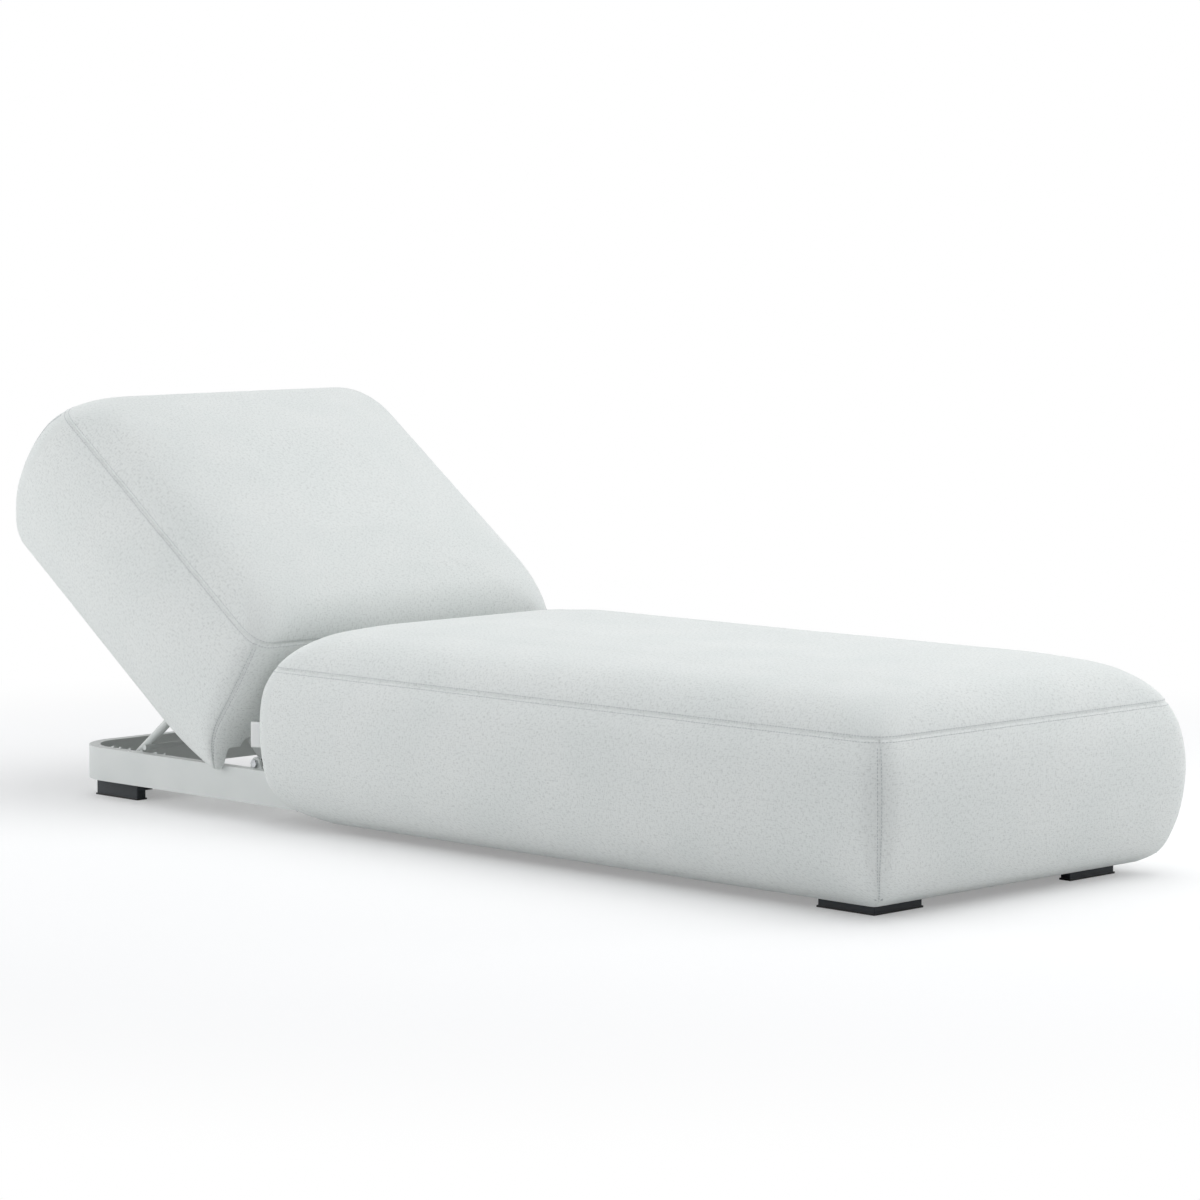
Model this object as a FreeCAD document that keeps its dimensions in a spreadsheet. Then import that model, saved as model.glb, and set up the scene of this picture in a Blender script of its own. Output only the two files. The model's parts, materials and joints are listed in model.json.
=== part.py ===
import FreeCAD, Part
import math
import os
import re
import Sketcher

# Relaxation lounger: a low tube frame on four corner feet, a deep upholstered seat block and a
# backrest of the same section that hinges on the frame and is held by a notched prop.
# X runs from the head end to the foot end, Z is up and the floor is Z = 0. All lengths are in
# millimetres. Every piece is drawn with the backrest lying flat, and its placement then turns
# the backrest and the prop to the raised rest pose.

document = FreeCAD.newDocument("lounger")
sheet = document.addObject("Spreadsheet::Sheet", "sizes")

DRIVING_SIZES = {
    # main frame
    "frame_length": 1966,
    "frame_width": 658,
    "rail_height": 60,
    "tube_thickness": 20,
    "tube_wall": 2,
    "bend_radius": 95,
    "frame_level": 34,
    "origin_shift": 28.6,
    # cross rails and seat deck
    "cross_rail_width": 20,
    "cross_rail_height": 40,
    "hinge_rail_offset": 39.5,
    "first_rail_offset": 139.5,
    "last_rail_inset": 243,
    "board_thickness": 12,
    "deck_offset": 83.5,
    "deck_margin": 26,
    "deck_corner": 80,
    # feet
    "foot_inset": 37,
    "foot_leg_x": 116,
    "foot_leg_y": 111,
    "foot_leg_thickness": 20,
    "foot_chamfer": 1,
    "glide_thickness": 3,
    "glide_margin": 1.5,
    "corner_plate_thickness": 4,
    "corner_plate_margin": 12,
    "screw_diameter": 6,
    "screw_depth": 18,
    "screw_head_width": 10,
    "screw_head_height": 4,
    "screw_setback": 22,
    # fits
    "fit_gap": 0.3,
    "running_gap": 0.05,
    "cut_overrun": 5,
    # backrest hinge
    "hinge_setback": 503.5,
    "hinge_level": 102,
    "hinge_pin_diameter": 8,
    "hinge_pin_head_diameter": 15,
    "hinge_pin_head_height": 5,
    "hinge_plate_thickness": 5,
    "hinge_plate_radius": 11,
    "hinge_plate_foot": 46,
    "hinge_plate_drop": 38,
    "hinge_bush_wall": 2,
    "hinge_spacer_length": 21,
    "hinge_spacer_diameter": 14,
    "hinge_nut_width": 13,
    "hinge_nut_height": 6,
    "hinge_arm_length": 172,
    "hinge_arm_rise": 10,
    # backrest frame
    "backrest_bar_height": 30,
    "backrest_bar_level": 110,
    "backrest_frame_offset": 80.5,
    "backrest_frame_overhang": 197,
    "backrest_board_margin": 20,
    "backrest_board_corner": 60,
    "buffer_diameter": 20,
    "buffer_row_y": 30,
    "buffer_dome": 6,
    # prop and rack
    "prop_reach": 205,
    "prop_pivot_rise": 19,
    "strut_diameter": 16,
    "strut_head": 14,
    "strut_tail": 42,
    "lock_rod_diameter": 10,
    "pivot_rod_diameter": 10,
    "collar_wall": 2.5,
    "collar_length": 5,
    "rack_thickness": 4,
    "rack_depth": 36,
    "rack_notch_depth": 9,
    "rack_tooth_tip": 3,
    "rack_end_margin": 16,
    # cushions
    "cushion_overhang": 59,
    "seat_cushion_height": 346.5,
    "seat_hem_level": 19.5,
    "seat_cushion_offset": 64.5,
    "hem_tuck": 28,
    "back_cushion_height": 372,
    "back_hem_level": 28,
    "back_cushion_offset": 47.5,
    "back_cushion_overhang": 260,
    "back_pocket_margin": 8,
    "back_pocket_corner": 40,
    "tab_length": 17,
    "tab_height": 44,
    "tab_thickness": 0.8,
    "tab_level": 143,
}

# Angles in degrees: the raised rest pose, and the backrest angles that the rack has a notch for.
DRIVING_ANGLES = {
    "rest_angle": 36,
    "first_notch_angle": 12,
    "notch_angle_step": 8,
}

# Places that follow from these sizes. The hinge keeps its distance from the head end of the frame,
# and the hinge rail, the backrest, the seat deck and both cushions keep theirs from the hinge.
DERIVED_SIZES = {
    "hinge_x": "hinge_setback - frame_length / 2",
    "hinge_rail_x": "hinge_x + hinge_rail_offset",
    "first_rail_x": "hinge_x + first_rail_offset",
    "last_rail_x": "frame_length / 2 - last_rail_inset",
    "deck_start_x": "hinge_x + deck_offset",
    "deck_end_x": "frame_length / 2 - deck_margin",
    "backrest_frame_start_x": "hinge_x - backrest_frame_offset",
    "backrest_frame_end_x": "-frame_length / 2 - backrest_frame_overhang",
    "seat_head_x": "hinge_x + seat_cushion_offset",
    "back_foot_x": "hinge_x - back_cushion_offset",
    "back_head_x": "-frame_length / 2 - back_cushion_overhang",
    "back_bar_outer_y": "frame_width / 2 - tube_thickness - 2 * hinge_plate_thickness - hinge_spacer_length",
    "prop_half_spread": "back_bar_outer_y + fit_gap + strut_diameter / 2",
}

NOTCH_COUNT = 5
CROSS_RAIL_COUNT = 3
CORNER_STEPS = 4

# Each row is one level of a cushion, from hem to crown: its height, how far its sides, its foot end
# and its head end lie inside the widest outline, and the radius of its corners. All five are shares
# of the cushion's height.
SEAT_SHARES = [
    (0.000, 0.190, 0.200, 0.430, 0.029),
    (0.050, 0.121, 0.110, 0.200, 0.046),
    (0.149, 0.063, 0.063, 0.055, 0.081),
    (0.290, 0.020, 0.020, 0.014, 0.121),
    (0.478, 0.000, 0.000, 0.000, 0.150),
    (0.639, 0.023, 0.023, 0.023, 0.144),
    (0.752, 0.075, 0.075, 0.075, 0.110),
    (0.833, 0.115, 0.120, 0.125, 0.167),
    (0.908, 0.190, 0.200, 0.210, 0.248),
    (0.950, 0.300, 0.320, 0.330, 0.300),
    (0.980, 0.500, 0.540, 0.560, 0.240),
    (1.000, 0.750, 0.850, 0.850, 0.150),
]
BACK_SHARES = [
    (0.000, 0.112, 0.060, 0.160, 0.027),
    (0.038, 0.090, 0.052, 0.110, 0.044),
    (0.137, 0.058, 0.040, 0.058, 0.077),
    (0.268, 0.019, 0.019, 0.019, 0.115),
    (0.471, 0.000, 0.000, 0.000, 0.142),
    (0.658, 0.022, 0.022, 0.022, 0.137),
    (0.764, 0.071, 0.071, 0.071, 0.104),
    (0.841, 0.106, 0.114, 0.112, 0.150),
    (0.912, 0.171, 0.190, 0.182, 0.220),
    (0.952, 0.285, 0.304, 0.313, 0.280),
    (0.980, 0.480, 0.460, 0.470, 0.230),
    (1.000, 0.680, 0.600, 0.600, 0.150),
]

values = dict(DRIVING_SIZES)
values.update(DRIVING_ANGLES)
for row, (alias, value) in enumerate(values.items(), start=1):
    sheet.set(f"A{row}", alias)
    sheet.set(f"B{row}", str(value))
    sheet.setAlias(f"B{row}", alias)
for row, (alias, formula) in enumerate(DERIVED_SIZES.items(), start=len(values) + 1):
    sheet.set(f"A{row}", alias)
    sheet.set(f"B{row}", f"={formula}")
    sheet.setAlias(f"B{row}", alias)
    document.recompute()
NAMES = {*values, *DERIVED_SIZES}

WORD = re.compile(r"[a-z_]+")


def cell(text):
    """Turn a formula of size names into one that reads the sheet."""
    return WORD.sub(lambda found: f"sizes.{found[0]}" if found[0] in NAMES else found[0], text)


def number(text):
    """Work the same formula out in numbers, for the first guess of a sketch."""
    total = sheet.evalExpression(cell(text))
    return float(getattr(total, "Value", total))


def bind(target, path, text):
    target.setExpression(path, cell(text))


def size(alias):
    """Read one size back from the sheet."""
    return float(sheet.get(alias))


# Derived formulas that several pieces share.
RAIL_TOP = "(frame_level + rail_height)"
HALF_WIDTH = "(frame_width / 2)"
HALF_LENGTH = "(frame_length / 2)"
INNER_HALF_WIDTH = "(frame_width / 2 - tube_thickness)"
STRAIGHT_END = "(frame_length / 2 - bend_radius)"
TUBE_MIDDLE_Y = "(frame_width / 2 - tube_thickness / 2)"
PLATE_OUTER_Y = "(frame_width / 2 - tube_thickness - hinge_plate_thickness)"
ARM_OUTER_Y = f"({PLATE_OUTER_Y} - hinge_spacer_length)"
BAR_OUTER_Y = "back_bar_outer_y"
BAR_INNER_Y = f"({BAR_OUTER_Y} - tube_thickness)"
BAR_TOP = "(backrest_bar_level + backrest_bar_height)"
PIVOT_LEVEL = "(hinge_level + prop_pivot_rise)"
PIVOT_X = "(hinge_x - sqrt(prop_reach ^ 2 - prop_pivot_rise ^ 2))"

PIVOT_RUN = math.sqrt(size("prop_reach") ** 2 - size("prop_pivot_rise") ** 2)
HINGE = FreeCAD.Vector(size("hinge_x"), 0, size("hinge_level"))
ACROSS = FreeCAD.Vector(0, 1, 0)
ORIGIN = FreeCAD.Vector(0, 0, 0)

base_place = FreeCAD.Placement(FreeCAD.Vector(size("origin_shift"), 0, 0), FreeCAD.Rotation())
back_turn = FreeCAD.Placement(ORIGIN, FreeCAD.Rotation(ACROSS, size("rest_angle")), HINGE)
back_place = base_place.multiply(back_turn)
pivot_flat = FreeCAD.Vector(size("hinge_x") - PIVOT_RUN, 0, size("hinge_level") + size("prop_pivot_rise"))
pivot_lift = math.degrees(math.asin(size("prop_pivot_rise") / size("prop_reach")))
prop_turn = FreeCAD.Rotation(ACROSS, -(size("rest_angle") + pivot_lift))
prop_place = FreeCAD.Placement(back_place.multVec(pivot_flat), prop_turn)

parts = []


def start_body(label, place):
    body = document.addObject("PartDesign::Body", label)
    body.Label = label
    body.Placement = place
    parts.append(body)
    return body


def start_sketch(body, plane, level="0"):
    """A sketch on one of the body's own origin planes, moved along that plane's normal."""
    made = body.newObject("Sketcher::SketchObject", "outline")
    support = [item for item in body.Origin.OriginFeatures if item.Role == plane][0]
    made.AttachmentSupport = [(support, "")]
    made.MapMode = "FlatFace"
    bind(made, "AttachmentOffset.Base.z", level)
    return made


def pin_point(sketch, geometry, end, across, up, tag):
    """Hold one end of a line at a place that the sheet gives."""
    for kind, text in (("DistanceX", across), ("DistanceY", up)):
        index = sketch.addConstraint(Sketcher.Constraint(kind, -1, 1, geometry, end, number(text)))
        name = f"{tag}{kind[-1].lower()}"
        sketch.renameConstraint(index, name)
        sketch.setExpression("Constraints." + name, cell(text))


def draw_outline(sketch, points, tag="p"):
    """Closed outline of straight lines through points given as formulas."""
    places = [FreeCAD.Vector(number(across), number(up), 0) for across, up in points]
    count = len(points)
    first = sketch.GeometryCount
    for index in range(count):
        sketch.addGeometry(Part.LineSegment(places[index], places[(index + 1) % count]), False)
    for index in range(count):
        after = first + (index + 1) % count
        sketch.addConstraint(Sketcher.Constraint("Coincident", first + index, 2, after, 1))
    for index, (across, up) in enumerate(points):
        pin_point(sketch, first + index, 1, across, up, f"{tag}{index}")


def draw_rounded(sketch, low_x, high_x, low_y, high_y, radius, tag="r"):
    """Closed rectangle with four equal round corners, given as formulas."""
    x0, x1, y0, y1, r = (number(text) for text in (low_x, high_x, low_y, high_y, radius))
    turn = math.pi / 2
    first = sketch.GeometryCount
    line = [((x0 + r, y0), (x1 - r, y0)), ((x1, y0 + r), (x1, y1 - r)),
            ((x1 - r, y1), (x0 + r, y1)), ((x0, y1 - r), (x0, y0 + r))]
    centre = [(x1 - r, y0 + r), (x1 - r, y1 - r), (x0 + r, y1 - r), (x0 + r, y0 + r)]
    for side in range(4):
        start, end = (FreeCAD.Vector(x, y, 0) for x, y in line[side])
        sketch.addGeometry(Part.LineSegment(start, end), False)
        circle = Part.Circle(FreeCAD.Vector(*centre[side], 0), FreeCAD.Vector(0, 0, 1), r)
        sketch.addGeometry(Part.ArcOfCircle(circle, (side - 1) * turn, side * turn), False)
    for side in range(4):
        straight = first + 2 * side
        following = first + (2 * side + 2) % 8
        sketch.addConstraint(Sketcher.Constraint("Tangent", straight, 2, straight + 1, 1))
        sketch.addConstraint(Sketcher.Constraint("Tangent", straight + 1, 2, following, 1))
        sketch.addConstraint(Sketcher.Constraint("Horizontal" if side % 2 == 0 else "Vertical", straight))
        if side:
            sketch.addConstraint(Sketcher.Constraint("Equal", first + 1, straight + 1))
    held = [("DistanceY", 0, low_y), ("DistanceX", 2, high_x),
            ("DistanceY", 4, high_y), ("DistanceX", 6, low_x)]
    for index, (kind, offset, text) in enumerate(held):
        made = sketch.addConstraint(Sketcher.Constraint(kind, -1, 1, first + offset, 1, number(text)))
        sketch.renameConstraint(made, f"{tag}{index}")
        sketch.setExpression(f"Constraints.{tag}{index}", cell(text))
    made = sketch.addConstraint(Sketcher.Constraint("Radius", first + 1, r))
    sketch.renameConstraint(made, f"{tag}radius")
    sketch.setExpression(f"Constraints.{tag}radius", cell(radius))


def draw_circle(sketch, across, up, diameter, tag="c"):
    centre = FreeCAD.Vector(number(across), number(up), 0)
    circle = Part.Circle(centre, FreeCAD.Vector(0, 0, 1), number(diameter) / 2)
    geometry = sketch.addGeometry(circle, False)
    pin_point(sketch, geometry, 3, across, up, tag)
    made = sketch.addConstraint(Sketcher.Constraint("Diameter", geometry, number(diameter)))
    sketch.renameConstraint(made, f"{tag}d")
    sketch.setExpression(f"Constraints.{tag}d", cell(diameter))


def pad(body, sketch, length, back=False):
    made = body.newObject("PartDesign::Pad", "pad")
    made.Profile = sketch
    made.Reversed = back
    bind(made, "Length", length)
    return made


def pocket(body, sketch, length, back=False):
    """Cut a sketch out of the body and make sure that it took something away."""
    document.recompute()
    before = body.Shape.Volume
    made = body.newObject("PartDesign::Pocket", "cut")
    made.Profile = sketch
    made.Reversed = back
    bind(made, "Length", length)
    document.recompute()
    if not body.Shape.Volume < before:
        raise RuntimeError(f"a cut in {body.Label} took nothing away")
    return made


def block(body, low, high, kind="Additive"):
    """A straight block between two corners, added to or cut from the body."""
    made = body.newObject(f"PartDesign::{kind}Box", "block")
    for edge, axis, start, end in zip(("Length", "Width", "Height"), "xyz", low, high):
        bind(made, edge, f"({end}) - ({start})")
        bind(made, f"Placement.Base.{axis}", start)
    return made


def rod(body, start, length, diameter, axis, kind="Additive"):
    """A round rod from a start point along X, Y or Z, added or cut."""
    made = body.newObject(f"PartDesign::{kind}Cylinder", "rod")
    turns = {"X": (ACROSS, 90), "Y": (FreeCAD.Vector(1, 0, 0), -90), "Z": (ACROSS, 0)}
    made.Placement = FreeCAD.Placement(ORIGIN, FreeCAD.Rotation(*turns[axis]))
    for name, text in zip("xyz", start):
        bind(made, f"Placement.Base.{name}", text)
    bind(made, "Radius", f"({diameter}) / 2")
    bind(made, "Height", length)
    return made


def tube_bar(label, place, low, high, run):
    """A straight rectangular tube, hollow along the axis that it runs on."""
    body = start_body(label, place)
    block(body, low, high)
    inner_low = [text if axis == run else f"({text}) + tube_wall" for axis, text in zip("XYZ", low)]
    inner_high = [text if axis == run else f"({text}) - tube_wall" for axis, text in zip("XYZ", high)]
    block(body, inner_low, inner_high, "Subtractive")
    return body


def side_name(sign):
    return "left" if sign > 0 else "right"


def mirrored(sign, near, far):
    """The lower and the higher Y of a piece that lies between near and far from the middle."""
    return (near, far) if sign > 0 else (f"-({far})", f"-({near})")


# Bent end rails: one rectangular tube each, bent to a quarter circle at both ends, so that the
# welds to the straight side rails sit where the bends stop.
for label, sign in (("head_rail", -1), ("foot_rail", 1)):
    body = start_body(label, base_place)
    spine = start_sketch(body, "XY_Plane", "frame_level + rail_height / 2")
    centre_radius = size("bend_radius") - size("tube_thickness") / 2
    straight_x = sign * number(STRAIGHT_END)
    far_x = sign * number("frame_length / 2 - tube_thickness / 2")
    corner_y = number("frame_width / 2 - bend_radius")
    up = FreeCAD.Vector(0, 0, 1)
    quarter = math.pi / 2
    if sign > 0:
        arc_turns = ((-quarter, 0), (0, quarter))
    else:
        arc_turns = ((math.pi, 3 * quarter), (quarter, math.pi))
    low_arc = Part.Circle(FreeCAD.Vector(straight_x, -corner_y, 0), up, centre_radius)
    high_arc = Part.Circle(FreeCAD.Vector(straight_x, corner_y, 0), up, centre_radius)
    spine.addGeometry(Part.ArcOfCircle(low_arc, *arc_turns[0]), False)
    far_line = Part.LineSegment(FreeCAD.Vector(far_x, -corner_y, 0), FreeCAD.Vector(far_x, corner_y, 0))
    spine.addGeometry(far_line, False)
    spine.addGeometry(Part.ArcOfCircle(high_arc, *arc_turns[1]), False)
    low_far, high_far = (2, 1) if sign > 0 else (1, 2)
    low_free, high_free = high_far, low_far
    spine.addConstraint(Sketcher.Constraint("Tangent", 0, low_far, 1, 1))
    spine.addConstraint(Sketcher.Constraint("Tangent", 1, 2, 2, high_far))
    spine.addConstraint(Sketcher.Constraint("Vertical", 1))
    spine.addConstraint(Sketcher.Constraint("Equal", 0, 2))
    pin_point(spine, 0, low_free, f"{sign} * {STRAIGHT_END}", f"-{TUBE_MIDDLE_Y}", "low")
    pin_point(spine, 2, high_free, f"{sign} * {STRAIGHT_END}", TUBE_MIDDLE_Y, "high")
    held = spine.addConstraint(Sketcher.Constraint("Radius", 0, centre_radius))
    spine.renameConstraint(held, "bend")
    spine.setExpression("Constraints.bend", cell("bend_radius - tube_thickness / 2"))
    held = spine.addConstraint(Sketcher.Constraint("DistanceX", -1, 1, 0, 3, straight_x))
    spine.renameConstraint(held, "centre")
    spine.setExpression("Constraints.centre", cell(f"{sign} * {STRAIGHT_END}"))
    section = start_sketch(body, "YZ_Plane", f"{sign} * {STRAIGHT_END}")
    draw_outline(section, [
        (f"-{HALF_WIDTH}", "frame_level"),
        (f"-{INNER_HALF_WIDTH}", "frame_level"),
        (f"-{INNER_HALF_WIDTH}", RAIL_TOP),
        (f"-{HALF_WIDTH}", RAIL_TOP),
    ], "outer")
    draw_outline(section, [
        (f"-({HALF_WIDTH} - tube_wall)", "frame_level + tube_wall"),
        (f"-({INNER_HALF_WIDTH} + tube_wall)", "frame_level + tube_wall"),
        (f"-({INNER_HALF_WIDTH} + tube_wall)", f"{RAIL_TOP} - tube_wall"),
        (f"-({HALF_WIDTH} - tube_wall)", f"{RAIL_TOP} - tube_wall"),
    ], "inner")
    bent = body.newObject("PartDesign::AdditivePipe", "bent_tube")
    bent.Profile = section
    bent.Spine = (spine, ["Edge1", "Edge2", "Edge3"])

# Straight side rails between the bends.
for sign in (1, -1):
    low_y, high_y = mirrored(sign, INNER_HALF_WIDTH, HALF_WIDTH)
    tube_bar(f"side_rail_{side_name(sign)}", base_place, (f"-{STRAIGHT_END}", low_y, "frame_level"),
             (STRAIGHT_END, high_y, RAIL_TOP), "X")

# Cross rails, welded between the side rails with their tops flush: one next to the hinge and an
# even row under the seat deck.
cross_places = ["hinge_rail_x"]
for index in range(CROSS_RAIL_COUNT):
    cross_places.append(f"first_rail_x + {index} * (last_rail_x - first_rail_x) / ({CROSS_RAIL_COUNT} - 1)")
cross_labels = ["hinge_cross_rail"] + [f"seat_cross_rail_{index + 1}" for index in range(CROSS_RAIL_COUNT)]
for label, place_x in zip(cross_labels, cross_places):
    tube_bar(label, base_place,
             (f"{place_x} - cross_rail_width / 2", f"-{INNER_HALF_WIDTH}", f"{RAIL_TOP} - cross_rail_height"),
             (f"{place_x} + cross_rail_width / 2", INNER_HALF_WIDTH, RAIL_TOP), "Y")

# Seat deck: a plywood board on the rails.
deck = start_body("seat_deck_board", base_place)
deck_outline = start_sketch(deck, "XY_Plane", RAIL_TOP)
draw_rounded(deck_outline, "deck_start_x", "deck_end_x", f"-({HALF_WIDTH} - deck_margin / 2)",
             f"{HALF_WIDTH} - deck_margin / 2", "deck_corner")
pad(deck, deck_outline, "board_thickness")

# Corner plates, feet, glides and screws, one set at each corner of the frame. A plate is welded into
# the inside of the bend at the frame's underside, with its corner cut off where the bend passes. The
# L-shaped foot is screwed to it from below, and a thin glide a little larger than the foot closes
# its sole.
CORNERS = [("head_left", -1, 1), ("head_right", -1, -1), ("foot_left", 1, 1), ("foot_right", 1, -1)]
FOOT_X = "(frame_length / 2 - foot_inset)"
FOOT_Y = "(frame_width / 2 - foot_inset)"
INNER_HALF_LENGTH = "(frame_length / 2 - tube_thickness)"


def corner_outline(sketch, x_sign, y_sign, grow):
    """The L of a foot, grown all round by a margin."""
    x_far = f"({FOOT_X} + {grow})"
    y_far = f"({FOOT_Y} + {grow})"
    x_near = f"({FOOT_X} - foot_leg_x - {grow})"
    y_near = f"({FOOT_Y} - foot_leg_y - {grow})"
    x_leg = f"({FOOT_X} - foot_leg_thickness - {grow})"
    y_leg = f"({FOOT_Y} - foot_leg_thickness - {grow})"
    corners = [(x_far, y_far), (x_far, y_near), (x_leg, y_near),
               (x_leg, y_leg), (x_near, y_leg), (x_near, y_far)]
    draw_outline(sketch, [(f"{x_sign} * {x}", f"{y_sign} * {y}") for x, y in corners])


def screw_places(x_sign, y_sign):
    """One screw near the end of each leg of the L."""
    leg_middle = "foot_leg_thickness / 2"
    return [
        (f"{x_sign} * ({FOOT_X} - foot_leg_x + screw_setback)", f"{y_sign} * ({FOOT_Y} - {leg_middle})"),
        (f"{x_sign} * ({FOOT_X} - {leg_middle})", f"{y_sign} * ({FOOT_Y} - foot_leg_y + screw_setback)"),
    ]


for name, x_sign, y_sign in CORNERS:
    plate = start_body(f"corner_plate_{name}", base_place)
    outline = start_sketch(plate, "XY_Plane", "frame_level")
    plate_x = f"({FOOT_X} - foot_leg_x - corner_plate_margin)"
    plate_y = f"({FOOT_Y} - foot_leg_y - corner_plate_margin)"
    draw_outline(outline, [(f"{x_sign} * {x}", f"{y_sign} * {y}") for x, y in (
        (INNER_HALF_LENGTH, plate_y), (INNER_HALF_LENGTH, INNER_HALF_WIDTH), (plate_x, INNER_HALF_WIDTH),
        (plate_x, plate_y))])
    pad(plate, outline, "corner_plate_thickness")
    document.recompute()
    square_plate = plate.Tip
    corner_x = x_sign * number(INNER_HALF_LENGTH)
    corner_y = y_sign * number(INNER_HALF_WIDTH)
    for index, edge in enumerate(square_plate.Shape.Edges, start=1):
        away = [abs(point.X - corner_x) + abs(point.Y - corner_y) for point in edge.Vertexes]
        if max(away) < size("fit_gap"):
            corner_edge = f"Edge{index}"
    cut_corner = plate.newObject("PartDesign::Chamfer", "bend_corner")
    cut_corner.Base = (square_plate, [corner_edge])
    bind(cut_corner, "Size", "bend_radius - tube_thickness")
    document.recompute()
    for index, (place_x, place_y) in enumerate(screw_places(x_sign, y_sign)):
        rod(plate, (place_x, place_y, "frame_level - cut_overrun"),
            "corner_plate_thickness + 2 * cut_overrun", "screw_diameter + 2 * running_gap", "Z", "Subtractive")

    foot = start_body(f"foot_{name}", base_place)
    outline = start_sketch(foot, "XY_Plane", "glide_thickness")
    corner_outline(outline, x_sign, y_sign, "0")
    pad(foot, outline, "frame_level - glide_thickness")
    document.recompute()
    square_foot = foot.Tip
    edges = []
    for index, edge in enumerate(square_foot.Shape.Edges, start=1):
        low, high = (point.Z for point in (edge.Vertexes[0], edge.Vertexes[-1]))
        if abs(high - low) > size("foot_chamfer"):
            edges.append(f"Edge{index}")
    softened = foot.newObject("PartDesign::Chamfer", "corner_chamfer")
    softened.Base = (square_foot, edges)
    bind(softened, "Size", "foot_chamfer")
    for place_x, place_y in screw_places(x_sign, y_sign):
        rod(foot, (place_x, place_y, "frame_level - screw_depth"), "screw_depth + cut_overrun",
            "screw_diameter + 2 * running_gap", "Z", "Subtractive")

    glide = start_body(f"foot_glide_{name}", base_place)
    outline = start_sketch(glide, "XY_Plane")
    corner_outline(outline, x_sign, y_sign, "glide_margin")
    pad(glide, outline, "glide_thickness")


def add_group(label, place, solids):
    """Like fasteners that share one node: each stays a solid of its own."""
    made = document.addObject("Part::Feature", label)
    made.Label = label
    made.Shape = Part.makeCompound(solids)
    made.Placement = place
    parts.append(made)
    return made


def place_of(across, along, up):
    return FreeCAD.Vector(number(across), number(along), number(up))


def hexagon(middle, across_flats, along):
    """A six-sided face square to X, Y or Z, as for a nut or a screw head."""
    first = FreeCAD.Vector(1, 0, 0)
    second = along.cross(first)
    reach = across_flats / 2 / math.cos(math.pi / 6)
    corners = []
    for step in range(7):
        turn = math.pi / 3 * step
        corners.append(middle + (first * math.cos(turn) + second * math.sin(turn)) * reach)
    return Part.Face(Part.makePolygon(corners))


# Hexagon screws that hold the feet, with their heads on top of the corner plates.
upward = FreeCAD.Vector(0, 0, 1)
screw_solids = []
for name, x_sign, y_sign in CORNERS:
    for place_x, place_y in screw_places(x_sign, y_sign):
        seat = place_of(place_x, place_y, "frame_level + corner_plate_thickness")
        head = hexagon(seat, size("screw_head_width"), upward).extrude(upward * size("screw_head_height"))
        shank_length = size("screw_depth") + size("corner_plate_thickness") - size("fit_gap")
        shank = Part.makeCylinder(size("screw_diameter") / 2, shank_length, seat, upward * -1)
        screw_solids.append(head.fuse(shank).removeSplitter())
add_group("foot_screws", base_place, screw_solids)

# Hinge brackets: steel plates welded inside the side rails, each with a round eye that carries a
# hinge pin just above the rails.
for sign in (1, -1):
    bracket = start_body(f"hinge_bracket_{side_name(sign)}", base_place)
    low_y, high_y = mirrored(sign, PLATE_OUTER_Y, INNER_HALF_WIDTH)
    outline = start_sketch(bracket, "XZ_Plane", f"-({high_y})")
    draw_outline(outline, [
        ("hinge_x - hinge_plate_foot / 2", f"{RAIL_TOP} - hinge_plate_drop"),
        ("hinge_x + hinge_plate_foot / 2", f"{RAIL_TOP} - hinge_plate_drop"),
        ("hinge_x + hinge_plate_foot / 2", f"{RAIL_TOP} - hinge_plate_drop / 2"),
        ("hinge_x + hinge_plate_radius", "hinge_level"),
        ("hinge_x - hinge_plate_radius", "hinge_level"),
        ("hinge_x - hinge_plate_foot / 2", f"{RAIL_TOP} - hinge_plate_drop / 2"),
    ])
    pad(bracket, outline, "hinge_plate_thickness")
    rod(bracket, ("hinge_x", low_y, "hinge_level"), "hinge_plate_thickness", "2 * hinge_plate_radius", "Y")
    rod(bracket, ("hinge_x", f"{low_y} - cut_overrun", "hinge_level"),
        "hinge_plate_thickness + 2 * cut_overrun", "hinge_pin_diameter + 2 * running_gap", "Y", "Subtractive")

# Racks: toothed plates welded inside the side rails. Each notch faces one backrest angle, and a
# tooth has a steep face towards the head end, which takes the push of the prop, and a long slope
# towards the hinge. The lock rod travels level with the hinge axis, just clear of the tooth tips.


def notch_angle(index):
    """The slope of the line from the hinge to the prop's pivot with the lock rod in one notch."""
    return f"((first_notch_angle + {index} * notch_angle_step) * 1 deg + asin(prop_pivot_rise / prop_reach))"


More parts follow.
